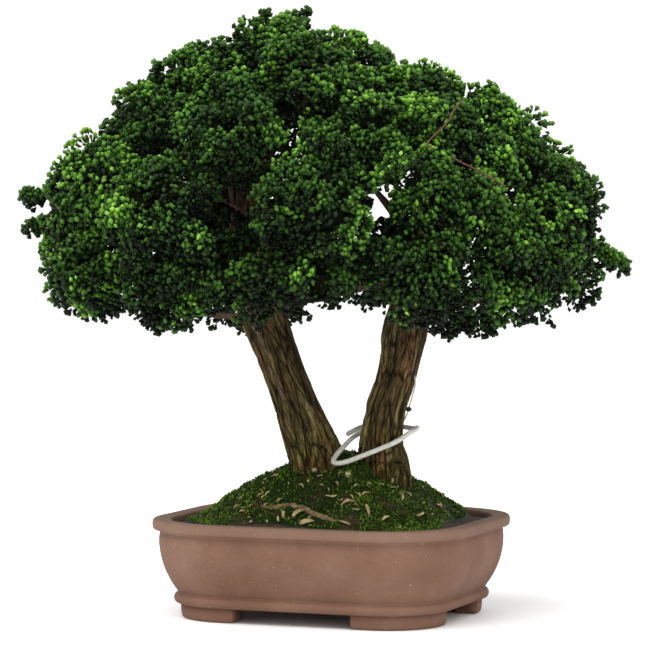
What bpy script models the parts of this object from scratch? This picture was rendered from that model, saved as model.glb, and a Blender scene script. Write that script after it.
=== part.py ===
# A twin-trunk hinoki cypress bonsai in its unglazed clay pot, in metres, +Z up, standing on z = 0.
# X runs along the pot's long side. The tree's best side is turned FRONT_TURN from the pot's, so the tree
# is laid out in its own directions: u to the right, w to the back and z up.
# Nodes: pot, two drain screens, soil, moss, the wood of the tree, a training wire and its foliage pads.
import math
import random

import bmesh
import bpy
import numpy as np
from mathutils import Matrix, Vector

FRONT_TURN = math.radians(21.3)
GAP = 0.0004  # air between two pieces that touch

# Pot
POT_HALF_X = 0.166
POT_HALF_Y = 0.140
CORNER_R = 0.089
ARC_STEPS = 6
FILL_ARC_STEPS = 3  # soil and moss, whose corners fall on the pot's own
POT_H = 0.0985
FOOT_H = 0.0145
FLOOR_T = 0.0115
RIM_WIDTH = 0.0195
LIP_H = 0.0105
LIP_OUT = 0.0065
BELLY_INSET = 0.0065
BELLY_Z = 0.072
WAIST_INSET = 0.0250
WAIST_Z = 0.0255
BAND_INSET = 0.0215
WALL_T = 0.0105
FOOT_INSET = 0.0285
FOOT_DEPTH = 0.024
FOOT_ROOT = 0.004  # how far a foot runs up into the pot's base
FOOT_FRONT_X = 0.062
FOOT_SIDE_Y = 0.046
DRAIN_R = 0.014
DRAIN_X = 0.066
SCREEN_SIDE = 0.044
SCREEN_T = 0.0012
SCREEN_SLOTS = 4

# Soil and moss
SOIL_EDGE_Z = 0.0925
MOUND_H = 0.067
MOUND_TOP = (0.006, 0.022)  # the mound's top in the tree's directions
MOUND_POWERS = (2.0, 1.95)
MOSS_T = 0.0045
MOSS_REACH = 0.93
MOSS_RINGS = (1.0, 0.86, 0.64, 0.42, 0.20)
SOIL_RINGS = (0.84, 0.66, 0.48, 0.30, 0.14)
FLOOR_TOP = FOOT_H + FLOOR_T
SOIL_BOTTOM = FLOOR_TOP + SCREEN_T + 2 * GAP

# Trunks: stations of (u, w, z, radius) on the middle line, from below the soil up into the crown
LEFT_TRUNK = (
    (0.004, 0.004, 0.112, 0.0330),
    (-0.008, 0.002, 0.135, 0.0325),
    (-0.0175, 0.000, 0.158, 0.0262),
    (-0.028, 0.000, 0.186, 0.0218),
    (-0.042, 0.002, 0.226, 0.0190),
    (-0.056, 0.003, 0.264, 0.0192),
    (-0.0695, 0.005, 0.300, 0.0214),
    (-0.081, 0.006, 0.340, 0.0195),
    (-0.084, 0.004, 0.385, 0.0160),
    (-0.078, 0.000, 0.435, 0.0125),
    (-0.066, -0.004, 0.485, 0.0090),
    (-0.056, -0.004, 0.530, 0.0060),
)
RIGHT_TRUNK = (
    (0.044, -0.004, 0.108, 0.0310),
    (0.050, -0.008, 0.130, 0.0290),
    (0.0515, -0.010, 0.152, 0.0240),
    (0.050, -0.010, 0.176, 0.0195),
    (0.0545, -0.008, 0.206, 0.0178),
    (0.063, -0.006, 0.234, 0.0170),
    (0.069, -0.004, 0.260, 0.0180),
    (0.0735, -0.002, 0.286, 0.0202),
    (0.082, 0.002, 0.325, 0.0170),
    (0.092, 0.006, 0.370, 0.0135),
    (0.104, 0.008, 0.415, 0.0105),
    (0.112, 0.006, 0.460, 0.0070),
)
TRUNK_RINGS = 14
TRUNK_SIDES = 10
RIDGES = ((3, 0.045), (5, 0.035))  # swells round a trunk, and their height as a share of its radius
ROOT_CROWN = ((0.024, -0.001, 0.114), (0.062, 0.042, 0.017))  # where the trunks join: middle, half sizes
ROOT_TURNS = (8, 80, 160, 215, 290)  # degrees round from +u
ROOT_REACH = 0.098
ROOT_R = (0.014, 0.004)
ROOT_STEPS = 3
ROOT_SIDES = 5

# Crown: a dome, flat below and lower on its right, whose foliage pads stand in tiers
CROWN_MIDDLE = Vector((-0.009, 0.0, 0.360))
CROWN_DEPTH = 0.258  # half, from front to back
CROWN_OUTLINE = (  # seen from the front: degrees from +u towards +z, reach from the crown's middle
    (-180, 0.318),
    (-166, 0.256),
    (-155, 0.182),
    (-140, 0.136),
    (-90, 0.084),
    (-40, 0.136),
    (-22, 0.208),
    (-9, 0.274),
    (5, 0.322),
    (18, 0.276),
    (30, 0.254),
    (45, 0.242),
    (60, 0.220),
    (75, 0.214),
    (90, 0.238),
    (104, 0.253),
    (120, 0.248),
    (140, 0.257),
    (155, 0.270),
    (168, 0.322),
    (180, 0.318),
)
TIERS = ((-7, 11, 0), (15, 10, 16), (37, 9, 0), (59, 6, 20), (82, 2, 40))  # latitude, pads, turn
UNDER_RING = (4, 0.45, 0.354)  # pads under the dome, their share of its reach and their height
PAD_CORE = (0.055, 0.049, 0.029)  # half sizes, the last outwards
PAD_DEPTH = 0.052  # of a pad's middle under the dome's outline
FAN_REACH = 0.036
FAN_FACES = 10  # of the core's twenty, those that face outwards, bear a fan
FAN_RIM = (  # degrees across the fan, share of its reach, half its thickness in degrees
    (29, 0.86, 3.2),
    (17, 0.58, 5.0),
    (5, 1.00, 6.5),
    (-7, 0.60, 6.5),
    (-18, 0.90, 6.0),
)
CELL_POWER = 6
HALVINGS = 14
SEED = 41

# Branches
TWIG_R = 0.0022
LOAD_R = 0.0013
BRANCH_SIDES = 4
BRANCH_STEPS = 3
BRANCH_SAG = 0.12
BRANCH_START_Z = 0.285

# Training wire: its middle line in the tree's directions. It starts behind the right trunk, turns back
# tightly on the right, comes down in front to the moss, turns back again and ends behind the trunk.
WIRE_R = 0.0025
WIRE_SIDES = 6
WIRE_STEPS = 34
WIRE_ROUTE = (
    (0.0130, 0.0100, 0.1820),
    (0.0300, 0.0190, 0.1875),
    (0.0500, 0.0225, 0.1910),
    (0.0680, 0.0170, 0.1925),
    (0.0810, 0.0030, 0.1920),
    (0.0860, -0.0120, 0.1905),
    (0.0830, -0.0225, 0.1875),
    (0.0755, -0.0300, 0.1830),
    (0.0640, -0.0360, 0.1760),
    (0.0480, -0.0385, 0.1690),
    (0.0300, -0.0400, 0.1620),
    (0.0160, -0.0380, 0.1565),
    (0.0060, -0.0340, 0.1540),
    (0.0010, -0.0300, 0.1555),
    (0.0040, -0.0240, 0.1615),
    (0.0115, -0.0130, 0.1690),
    (0.0210, 0.0030, 0.1770),
    (0.0330, 0.0125, 0.1825),
    (0.0470, 0.0109, 0.1840),
)

CLAY = ((0.33, 0.20, 0.15), 0.85)
BARK = ((0.16, 0.11, 0.07), 0.90)
LEAF = ((0.07, 0.20, 0.05), 0.65)
SOIL = ((0.07, 0.045, 0.03), 0.95)
MOSS = ((0.10, 0.22, 0.03), 0.95)
WIRE = ((0.80, 0.79, 0.74), 0.45)
SCREEN = ((0.05, 0.05, 0.05), 0.60)


def placed(u, w, z):
    """A point of the tree's own directions in the part's frame."""
    c, s = math.cos(FRONT_TURN), math.sin(FRONT_TURN)
    return Vector((u * c - w * s, u * s + w * c, z))


def material(name, look):
    colour, roughness = look
    made = bpy.data.materials.new(name)
    made.use_nodes = True
    shader = made.node_tree.nodes["Principled BSDF"]
    shader.inputs["Base Color"].default_value = (*colour, 1.0)
    shader.inputs["Roughness"].default_value = roughness
    shader.inputs["Metallic"].default_value = 0.0
    return made


def solid(name, bm, look=None):
    """An object from a bmesh, with its faces turned outwards and split into triangles.

    Faces that aren't flat are split alike in a piece and in the copy that cuts its neighbour.
    """
    bmesh.ops.recalc_face_normals(bm, faces=bm.faces)
    bmesh.ops.triangulate(bm, faces=bm.faces)
    mesh = bpy.data.meshes.new(name)
    bm.to_mesh(mesh)
    bm.free()
    obj = bpy.data.objects.new(name, mesh)
    bpy.context.scene.collection.objects.link(obj)
    if look:
        mesh.materials.append(look)
    return obj


def loft(name, rings, look=None):
    """A closed solid through rings of equally many points, with a flat cap on the first and the last."""
    bm = bmesh.new()
    rows = [[bm.verts.new(p) for p in ring] for ring in rings]
    for low, high in zip(rows, rows[1:]):
        bridge(bm, low, high)
    bm.faces.new(rows[0][::-1])
    bm.faces.new(rows[-1])
    return solid(name, bm, look)


def bridge(bm, low, high):
    for k, corner in enumerate(low):
        n = (k + 1) % len(low)
        bm.faces.new((corner, low[n], high[n], high[k]))


def box(name, centre, half):
    bm = bmesh.new()
    bmesh.ops.create_cube(bm, size=2)
    bmesh.ops.scale(bm, vec=half, verts=bm.verts)
    bmesh.ops.translate(bm, vec=centre, verts=bm.verts)
    return solid(name, bm)


def rod(name, centre, radius, length, sides=20):
    bm = bmesh.new()
    bmesh.ops.create_cone(bm, cap_ends=True, segments=sides, radius1=radius, radius2=radius, depth=length)
    bmesh.ops.translate(bm, vec=centre, verts=bm.verts)
    return solid(name, bm)


def ball(name, centre, half, rounds=1):
    bm = bmesh.new()
    bmesh.ops.create_icosphere(bm, subdivisions=rounds, radius=1)
    bmesh.ops.scale(bm, vec=half, verts=bm.verts)
    bmesh.ops.translate(bm, vec=centre, verts=bm.verts)
    return solid(name, bm)


def boolean(target, operation, tools, solver="EXACT"):
    """Joins tools to target or cuts them from it, and removes them."""
    group = bpy.data.collections.new("tools")
    bpy.context.scene.collection.children.link(group)
    for tool in tools:
        group.objects.link(tool)
    modifier = target.modifiers.new("boolean", "BOOLEAN")
    modifier.operation = operation
    modifier.operand_type = "COLLECTION"
    modifier.collection = group
    modifier.solver = solver
    graph = bpy.context.evaluated_depsgraph_get()
    graph.update()
    result = bpy.data.meshes.new_from_object(target.evaluated_get(graph))
    target.modifiers.clear()
    target.data = result
    for tool in tools:
        bpy.data.objects.remove(tool)
    bpy.data.collections.remove(group)
    return target


def keep_largest_body(obj):
    """Drops the loose scraps that a cut leaves beside the main body."""
    bm = bmesh.new()
    bm.from_mesh(obj.data)
    unseen, bodies = set(bm.verts), []
    while unseen:
        stack, body = [unseen.pop()], []
        while stack:
            vert = stack.pop()
            body.append(vert)
            for edge in vert.link_edges:
                other = edge.other_vert(vert)
                if other in unseen:
                    unseen.discard(other)
                    stack.append(other)
        bodies.append(body)
    bodies.sort(key=len)
    for scrap in bodies[:-1]:
        bmesh.ops.delete(bm, geom=scrap, context="VERTS")
    bm.to_mesh(obj.data)
    bm.free()
    return obj


def smooth(obj, degrees=40):
    obj.data.shade_smooth()
    obj.data.set_sharp_from_angle(angle=math.radians(degrees))
    return obj


# Pot


def outline(inset, z, steps=ARC_STEPS):
    """A rounded rectangle at an inset from the rim's edge, as points anticlockwise."""
    r = CORNER_R - inset
    x, y = POT_HALF_X - CORNER_R, POT_HALF_Y - CORNER_R
    points = []
    for quarter, (sx, sy) in enumerate(((1, 1), (-1, 1), (-1, -1), (1, -1))):
        for k in range(steps + 1):
            a = math.pi / 2 * (quarter + k / steps)
            points.append(Vector((sx * x + r * math.cos(a), sy * y + r * math.sin(a), z)))
    return points


def belly_inset(z):
    """The outer wall's inset: a parabola from the waist above the foot band out to the belly."""
    t = (BELLY_Z - z) / (BELLY_Z - WAIST_Z)
    return BELLY_INSET + (WAIST_INSET - BELLY_INSET) * t * t


def outer_wall():
    """(inset, z) up the outside, from the base round the band, the belly and the lip to the rim's inside."""
    band_mid = (FOOT_H + WAIST_Z) / 2
    lip_z = POT_H - LIP_H
    profile = [
        (BAND_INSET + 0.0040, FOOT_H),
        (BAND_INSET, band_mid - 0.0020),
        (BAND_INSET, band_mid + 0.0020),
    ]
    for t in (0.0, 0.22, 0.45, 0.72, 1.0):
        z = WAIST_Z + (BELLY_Z - WAIST_Z) * t
        profile.append((belly_inset(z), z))
    profile += [
        (LIP_OUT + 0.0015, lip_z - 0.0025),
        (LIP_OUT * 0.25, lip_z),
        (0.0, lip_z + 0.0020),
        (0.0, POT_H - 0.0018),
        (0.0016, POT_H),
        (RIM_WIDTH - 0.0015, POT_H - 0.0006),
        (RIM_WIDTH, POT_H - 0.0025),
    ]
    return profile


def inner_wall():
    """(inset, z) down the inside, from under the rim to the floor."""
    return [
        (BELLY_INSET + WALL_T, BELLY_Z),
        (belly_inset(0.046) + WALL_T, 0.046),
        (WAIST_INSET + WALL_T + 0.001, FLOOR_TOP + 0.003),
        (WAIST_INSET + WALL_T + 0.005, FLOOR_TOP),
    ]


def feet():
    """Four bracket feet: a ring under the base, parted at the middle of each side."""
    top = FOOT_H + FOOT_ROOT
    rings = [
        outline(FOOT_INSET + 0.0020, 0.0),
        outline(FOOT_INSET, 0.0025),
        outline(FOOT_INSET, top),
        outline(FOOT_INSET + FOOT_DEPTH, top),
        outline(FOOT_INSET + FOOT_DEPTH, 0.0),
    ]
    bm = bmesh.new()
    rows = [[bm.verts.new(p) for p in ring] for ring in rings]
    for low, high in zip(rows, rows[1:] + rows[:1]):
        bridge(bm, low, high)
    slots = [
        box("front_slot", (0, 0, 0), (FOOT_FRONT_X, POT_HALF_Y, POT_H)),
        box("side_slot", (0, 0, 0), (POT_HALF_X, FOOT_SIDE_Y, POT_H)),
    ]
    return boolean(solid("feet", bm), "DIFFERENCE", slots)


def make_pot(look):
    walls = [outline(inset, z) for inset, z in outer_wall() + inner_wall()]
    pot = loft("pot", walls, look)
    boolean(pot, "UNION", [feet()])
    drains = [rod("drain", (x, 0, FOOT_H), DRAIN_R, FLOOR_T * 3) for x in (-DRAIN_X, DRAIN_X)]
    boolean(pot, "DIFFERENCE", drains)
    smooth(pot, 35)


def make_screen(name, x, look):
    """A square of plastic mesh over a drain hole, which keeps the soil in."""
    z = FLOOR_TOP + GAP + SCREEN_T / 2
    half = SCREEN_SIDE / 2
    screen = box(name, (x, 0, z), (half, half, SCREEN_T / 2))
    screen.data.materials.append(look)
    pitch = SCREEN_SIDE / (SCREEN_SLOTS + 1)
    slots = []
    for k in range(SCREEN_SLOTS):
        offset = (k - (SCREEN_SLOTS - 1) / 2) * pitch
        slots.append(box("slot", (x + offset, 0, z), (pitch * 0.28, half * 0.8, SCREEN_T)))
    boolean(screen, "DIFFERENCE", slots)


# Soil and moss


def ground(share, edge):
    """The soil's top on the line from the mound's top to a point of the soil's edge."""
    p, q = MOUND_POWERS
    middle = placed(*MOUND_TOP, 0)
    x = middle.x + (edge.x - middle.x) * share
    y = middle.y + (edge.y - middle.y) * share
    swell = 0.0016 * (math.sin(61 * x + 23 * y + 1.0) + math.sin(71 * y - 37 * x + 2.4))
    rise = MOUND_H * (1 - share**p) ** q + swell * min(1.0, 4 * (1 - share))
    return Vector((x, y, SOIL_EDGE_Z + rise))


def inner_inset(z):
    """The inner wall's inset at a height, for what fills the pot."""
    wall = outer_wall()[-1:] + inner_wall()
    for (high_inset, high), (low_inset, low) in zip(wall, wall[1:]):
        if low <= z <= high:
            return low_inset + (high_inset - low_inset) * (z - low) / (high - low)
    return wall[-1][0]


def soil_body(look=None):
    heights = [z for _, z in reversed(inner_wall()) if z > SOIL_BOTTOM]
    levels = [SOIL_BOTTOM] + heights + [SOIL_EDGE_Z]
    rings = [outline(inner_inset(z) + GAP, z, FILL_ARC_STEPS) for z in levels]
    edge = rings[-1]
    rings += [[ground(share, p) for p in edge] for share in SOIL_RINGS]
    return loft("soil", rings, look)


def make_soil(look, cutters):
    soil = boolean(soil_body(look), "DIFFERENCE", cutters)
    smooth(keep_largest_body(soil))


def make_moss(look, cutters):
    """A mat over the mound, thin at its wavy edge, open round the wood and grooved by the wire."""
    edge = outline(inner_inset(SOIL_EDGE_Z) + GAP, SOIL_EDGE_Z, FILL_ARC_STEPS)
    top, under = [], []
    for share in MOSS_RINGS:
        upper, lower = [], []
        for p in edge:
            angle = math.atan2(p.y, p.x)
            reach = MOSS_REACH - 0.04 * (1 + math.sin(3 * angle + 0.6)) + 0.02 * math.sin(8 * angle)
            bed = ground(share * reach, p)
            depth = MOSS_T * (0.45 if share == 1.0 else 1.0) + 0.001 * math.sin(9 * angle + 7 * share)
            lower.append(bed - Vector((0, 0, MOSS_T)))
            upper.append(bed + Vector((0, 0, depth)))
        top.append(upper)
        under.append(lower)
    moss = loft("moss", under[::-1] + top, look)
    bed = soil_body()
    bed.data.transform(Matrix.Translation((0, 0, 1.5 * GAP)))
    boolean(moss, "DIFFERENCE", cutters + [bed])
    smooth(keep_largest_body(moss))


# Wood and wire


def curve_through(stations, count):
    """Evenly many points on a Catmull-Rom curve through stations of any width."""
    pts = np.array(stations, float)
    ends = np.vstack([2 * pts[0] - pts[1], pts, 2 * pts[-1] - pts[-2]])
    out = []
    for s in np.linspace(0, len(pts) - 1, count):
        k = min(int(s), len(pts) - 2)
        t = s - k
        a, b, c, d = ends[k : k + 4]
        bend = (2 * a - 5 * b + 4 * c - d) * t**2 + (3 * b - a - 3 * c + d) * t**3
        out.append(0.5 * (2 * b + (c - a) * t + bend))
    return np.array(out)


def tube(name, points, radii, sides, ridges=(), look=None):
    """A tube with flat ends, round or swelled by ridges, whose rings keep a steady direction."""
    rings, side = [], None
    for k, p in enumerate(points):
        ahead = (points[min(k + 1, len(points) - 1)] - points[max(k - 1, 0)]).normalized()
        if side is None:
            side = ahead.orthogonal()
        side = (side - ahead * side.dot(ahead)).normalized()
        across = ahead.cross(side)
        ring = []
        for j in range(sides):
            a = 2 * math.pi * j / sides
            r = radii[k] * (1 + sum(h * math.sin(n * a + 0.3 * k) for n, h in ridges))
            ring.append(p + side * (r * math.cos(a)) + across * (r * math.sin(a)))
        rings.append(ring)
    return loft(name, rings, look)


def trunk(name, stations, extra):
    rows = curve_through(stations, TRUNK_RINGS)
    points = [placed(*row[:3]) for row in rows]
    if extra:
        points[-1] = points[-1] + (points[-1] - points[-2]).normalized() * extra
        points[0] = points[0] + (points[0] - points[1]).normalized() * extra
    return tube(name, points, [row[3] + extra for row in rows], TRUNK_SIDES, RIDGES)


def trunks(extra):
    return [trunk("left", LEFT_TRUNK, extra), trunk("right", RIGHT_TRUNK, extra)]


def root(turn, extra):
    """A root that leaves the root crown and dips into the soil."""
    a = math.radians(turn)
    middle = Vector(ROOT_CROWN[0])
    points, radii = [], []
    for k in range(ROOT_STEPS + 1):
        t = k / ROOT_STEPS
        reach = 0.012 + (ROOT_REACH - 0.012) * t
        sway = 0.007 * math.sin(3 * t + turn)
        u = middle.x + reach * math.cos(a) - sway * math.sin(a)
        w = middle.y + 0.8 * (reach * math.sin(a) + sway * math.cos(a))
        points.append(placed(u, w, middle.z - 0.002 - 0.040 * t**1.5))
        radii.append(ROOT_R[0] + (ROOT_R[1] - ROOT_R[0]) * t + extra)
    if extra:
        points[-1] = points[-1] + (points[-1] - points[-2]).normalized() * extra
    return tube("root", points, radii, ROOT_SIDES)


def stump(extra):
    """The two trunks, the crown of roots that joins them, and the roots, grown by extra all round."""
    centre, half = ROOT_CROWN
    crown = ball("root_crown", (0, 0, 0), [h + extra for h in half], 2)
    crown.data.transform(Matrix.Translation(placed(*centre)) @ Matrix.Rotation(FRONT_TURN, 4, "Z"))
    return trunks(extra) + [crown] + [root(turn, extra) for turn in ROOT_TURNS]


def make_wire(look, extra=0.0):
    points = [placed(*row) for row in curve_through(WIRE_ROUTE, WIRE_STEPS)]
    wire = tube("training_wire", points, [WIRE_R + extra] * WIRE_STEPS, WIRE_SIDES, (), look)
    return smooth(wire, 70)


# Crown


def crown_reach(direction):
    """How far the dome reaches from the crown's middle in a direction, given in the tree's directions.

    Its section across w is the outline seen from the front, made smaller towards the front and the back.
    """
    angle = math.degrees(math.atan2(direction.z, direction.x))
    for (a, low), (b, high) in zip(CROWN_OUTLINE, CROWN_OUTLINE[1:]):
        if angle <= b:
            front = low + (high - low) * (angle - a) / (b - a)
            break
    across = math.hypot(direction.x, direction.z)
    return direction.length / math.hypot(across / front, direction.y / CROWN_DEPTH)


def crown_point(latitude, longitude, share=1.0):
    """A point of the dome, at a share of its size, in the tree's directions."""
    lat, lon = math.radians(latitude), math.radians(longitude)
    out = Vector((math.cos(lat) * math.cos(lon), math.cos(lat) * math.sin(lon), math.sin(lat)))
    return CROWN_MIDDLE + out * (share * crown_reach(out))


def pad_plan():
    """(middle, outward direction) of each foliage pad, in the tree's directions."""
    draw = random.Random(SEED)
    plan = []
    for latitude, count, turn in TIERS:
        for k in range(count):
            lon = turn + 360 * (k + draw.uniform(-0.16, 0.16)) / count
            lat = latitude + draw.uniform(-4, 4)
            outer = crown_point(lat, lon)
            out = (outer - crown_point(lat * 0.8, lon, 0.6)).normalized()
            plan.append((outer - out * PAD_DEPTH, out))
    count, share, height = UNDER_RING
    for k in range(count):
        lon = math.radians(36 + 360 * (k + draw.uniform(-0.1, 0.1)) / count)
        level = Vector((math.cos(lon), math.sin(lon), 0))
        middle = CROWN_MIDDLE + level * (share * crown_reach(level))
        middle.z = height + draw.uniform(-0.006, 0.006)
        plan.append((middle, (level - Vector((0, 0, 0.7))).normalized()))
    return plan


def branch_cost(start, owner, middle):
    """How far a pad's branch has to go from a point of the wood, dearer where it would have to fall."""
    step = middle - start
    fall = max(0.0, 0.25 * math.hypot(step.x, step.y) - step.z)
    return step.length + 1.2 * fall + (0.012 if owner >= 0 else 0.0)


def branch_plan(plan):
    """Each pad's branch as (points, radii), in the tree's directions.

    The pads nearest to a trunk come first. A branch leaves the nearest wood that is low enough, bows down
    and ends in its pad, and it is thicker the more branches it carries.
    """
    wood = []
    for stations in (LEFT_TRUNK, RIGHT_TRUNK):
        rows = curve_through(stations, TRUNK_RINGS)
        wood += [(Vector(row[:3]), -1) for row in rows if row[2] > BRANCH_START_Z]
    near = [min((middle - p).length for p, _ in wood) for middle, _ in plan]
    order = sorted(range(len(plan)), key=near.__getitem__)
    lines, parents = {}, {}
    for i in order:
        middle, out = plan[i]
        start, parents[i] = min(wood, key=lambda entry: branch_cost(*entry, middle))
        end = middle - out * (PAD_CORE[2] * 0.3)
        bow = (start + end) / 2 - Vector((0, 0, BRANCH_SAG * (end - start).length))
        steps = [k / BRANCH_STEPS for k in range(BRANCH_STEPS + 1)]
        lines[i] = [start * (1 - t) ** 2 + bow * (2 * t * (1 - t)) + end * t**2 for t in steps]
        wood += [(p, i) for p in lines[i][1:-1]]
    loads = [1] * len(plan)
    for i in reversed(order):
        if parents[i] >= 0:
            loads[parents[i]] += loads[i]
    branches = []
    for i in range(len(plan)):
        thick = TWIG_R + LOAD_R * math.sqrt(loads[i])
        radii = [thick + (TWIG_R - thick) * k / BRANCH_STEPS for k in range(BRANCH_STEPS + 1)]
        branches.append((lines[i], radii))
    return branches


def branch(line, radii, extra=0.0):
    points = [placed(*p) for p in line]
    if extra:
        points[-1] = points[-1] + (points[-1] - points[-2]).normalized() * extra
    return tube("branch", points, [r + extra for r in radii], BRANCH_SIDES)


def pad_frame(out):
    """Directions along, across and out of a pad."""
    along = Vector((0, 0, 1)).cross(out)
    along = along.normalized() if along.length > 0.05 else Vector((1, 0, 0))
    return along, out.cross(along).normalized(), out


def cell_reach(middle, direction, others):
    """How far a pad may reach in a direction before it meets the plane halfway to a neighbour."""
    reach = 1.0
    for other in others:
        apart = (other - middle).length
        facing = direction.dot(other - middle) / apart
        if facing > 0.05:
            reach = min(reach, (apart / 2 - GAP / 2) / facing)
    return reach


def dome_reach(middle, direction):
    """How far a line from a pad's middle runs before it leaves the dome, found by halving."""
    low, high = 0.0, 2 * CROWN_DEPTH
    for _ in range(HALVINGS):
        reach = (low + high) / 2
        offset = middle + direction * reach - CROWN_MIDDLE
        if offset.length < crown_reach(offset):
            low = reach
        else:
            high = reach
    return low


def fit_to_cell(point, middle, others):
    """Draws a point towards the pad's middle, more the further out it is, so that it stays in the cell.

    The cell is what lies nearer to this pad than to the others, inside the dome.
    """
    offset = point - middle
    direction = offset.normalized()
    reach = min(cell_reach(middle, direction, others), dome_reach(middle, direction))
    return middle + offset / (1 + (offset.length / reach) ** CELL_POWER) ** (1 / CELL_POWER)


def fan_rim(face):
    """The two edges of a fan's rim over a face of the unit core, from one corner to the opposite side.

    Each point is (direction from the core's middle, share of the fan's reach). All lie over the face.
    """
    corner, *_ = face
    middle = sum(face, Vector()).normalized()
    along = (corner - middle * corner.dot(middle)).normalized()
    across = middle.cross(along)
    front, back = [], []
    for angle, share, thick in FAN_RIM:
        a = math.radians(angle)
        line = middle * math.cos(a) + along * math.sin(a)
        half = across * math.tan(math.radians(thick))
        front.append(((line + half).normalized(), share))
        back.append(((line - half).normalized(), share))
    return front, back


def raise_fan(bm, face, draw, reach):
    """Replaces a face of the core by a fan spray with three lobes. Returns its points with their reach."""
    turn = draw.randrange(3)
    corners = [face.verts[(turn + k) % 3] for k in range(3)]
    rims = fan_rim([v.co.normalized() for v in corners])
    bm.faces.remove(face)
    front, back = [[bm.verts.new(d) for d, _ in rim] for rim in rims]
    a, b, c = corners
    for side, foot in ((front, b), (back, c)):
        bm.faces.new((a, side[0], side[1]))
        bm.faces.new((a, side[1], side[2]))
        bm.faces.new((a, side[2], foot))
        bm.faces.new((foot, side[2], side[3]))
        bm.faces.new((foot, side[3], side[4]))
    bm.faces.new((a, front[0], back[0]))
    bm.faces.new((b, front[-1], back[-1]))
    bm.faces.new((b, back[-1], c))
    for k in range(len(front) - 1):
        bm.faces.new((front[k], back[k], back[k + 1]))
        bm.faces.new((front[k], back[k + 1], front[k + 1]))
    return [(v, reach * share) for side, rim in zip((front, back), rims) for v, (_, share) in zip(side, rim)]


def make_pad(name, i, plan, draw, look):
    """A small core whose outward faces are raised into fan sprays, all inside the pad's own cell."""
    middle, out = plan[i]
    others = [other for k, (other, _) in enumerate(plan) if k != i and (other - middle).length < 0.3]
    frame = Matrix(pad_frame(out)).transposed()
    bm = bmesh.new()
    bmesh.ops.create_icosphere(bm, subdivisions=1, radius=1)
    turned = Matrix.Rotation(draw.uniform(0, 2 * math.pi), 3, "Z") @ Matrix.Rotation(draw.uniform(0, 1), 3, "X")
    bmesh.ops.transform(bm, matrix=turned.to_4x4(), verts=bm.verts)
    raised = {v: 0.0 for v in bm.verts}
    outward = sorted(bm.faces, key=lambda face: -face.calc_center_median().z)[:FAN_FACES]
    for face in outward:
        raised.update(raise_fan(bm, face, draw, FAN_REACH * draw.uniform(0.82, 1.18)))
    for vert, reach in raised.items():
        offset = frame @ Vector(h * x for h, x in zip(PAD_CORE, vert.co))
        p = middle + offset.normalized() * (offset.length + reach)
        vert.co = placed(*fit_to_cell(p, middle, others))
    return solid(name, bm, look)


def stand_on_middle():
    """Moves all pieces alike, so that the middle of the whole stands over the origin."""
    corners = [obj.matrix_world @ Vector(c) for obj in bpy.data.objects for c in obj.bound_box]
    x, y = [(min(c[k] for c in corners) + max(c[k] for c in corners)) / 2 for k in (0, 1)]
    for obj in bpy.data.objects:
        obj.data.transform(Matrix.Translation((-x, -y, 0)))


def main():
    for obj in list(bpy.data.objects):
        bpy.data.objects.remove(obj)
    clay, bark, leaf = material("clay", CLAY), material("bark", BARK), material("leaf", LEAF)
    make_pot(clay)
    mesh_plastic = material("screen", SCREEN)
    make_screen("drain_screen_left", -DRAIN_X, mesh_plastic)
    make_screen("drain_screen_right", DRAIN_X, mesh_plastic)
    make_soil(material("soil", SOIL), stump(GAP))
    make_moss(material("moss", MOSS), stump(2 * GAP) + [make_wire(None, GAP)])
    make_wire(material("wire", WIRE))

    plan = pad_plan()
    branches = branch_plan(plan)
    wood, *joined = stump(0.0)
    wood.name = "wood"
    wood.data.materials.append(bark)
    boolean(wood, "UNION", joined + [branch(*b) for b in branches], "MANIFOLD")
    smooth(wood, 50)
    draw = random.Random(SEED + 1)
    for i in range(len(plan)):
        pad = make_pad(f"foliage_{i + 1:02d}", i, plan, draw, leaf)
        cutters = trunks(GAP) + [branch(*b, GAP) for b in branches]
        boolean(pad, "DIFFERENCE", cutters, "MANIFOLD")
        keep_largest_body(pad)
    stand_on_middle()


main()
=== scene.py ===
# The looks of a twin-trunk hinoki cypress bonsai in its clay pot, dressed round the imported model.
# The tree is laid out in its own directions, as in the model: u to the right, w to the back, z up.
import math

import bpy
import numpy as np
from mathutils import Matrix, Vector


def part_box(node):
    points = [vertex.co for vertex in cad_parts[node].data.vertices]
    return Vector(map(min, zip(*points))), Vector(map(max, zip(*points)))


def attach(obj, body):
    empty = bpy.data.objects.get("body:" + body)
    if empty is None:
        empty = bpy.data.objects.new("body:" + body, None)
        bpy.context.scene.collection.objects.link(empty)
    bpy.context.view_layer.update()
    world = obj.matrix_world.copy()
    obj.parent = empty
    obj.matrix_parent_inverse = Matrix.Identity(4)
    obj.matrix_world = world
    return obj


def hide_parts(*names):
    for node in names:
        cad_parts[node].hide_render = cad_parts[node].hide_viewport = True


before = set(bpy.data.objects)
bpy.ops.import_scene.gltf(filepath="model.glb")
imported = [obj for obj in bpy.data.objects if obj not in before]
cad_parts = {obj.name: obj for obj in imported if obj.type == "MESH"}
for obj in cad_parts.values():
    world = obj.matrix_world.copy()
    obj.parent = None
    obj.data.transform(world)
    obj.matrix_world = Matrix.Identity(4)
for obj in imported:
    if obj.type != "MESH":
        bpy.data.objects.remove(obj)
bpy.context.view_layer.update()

treeTurn = math.radians(21.3)
potLow, potHigh = [np.array(corner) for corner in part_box("pot")]
potMiddle = (potLow + potHigh) / 2
treeU = np.array([math.cos(treeTurn), math.sin(treeTurn), 0.0])
treeW = np.array([-math.sin(treeTurn), math.cos(treeTurn), 0.0])
up = np.array([0.0, 0.0, 1.0])
potBase = potMiddle * np.array([1, 1, 0])
moundFoot = potBase + 0.02 * up  # things on the mound stand away from here


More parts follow.
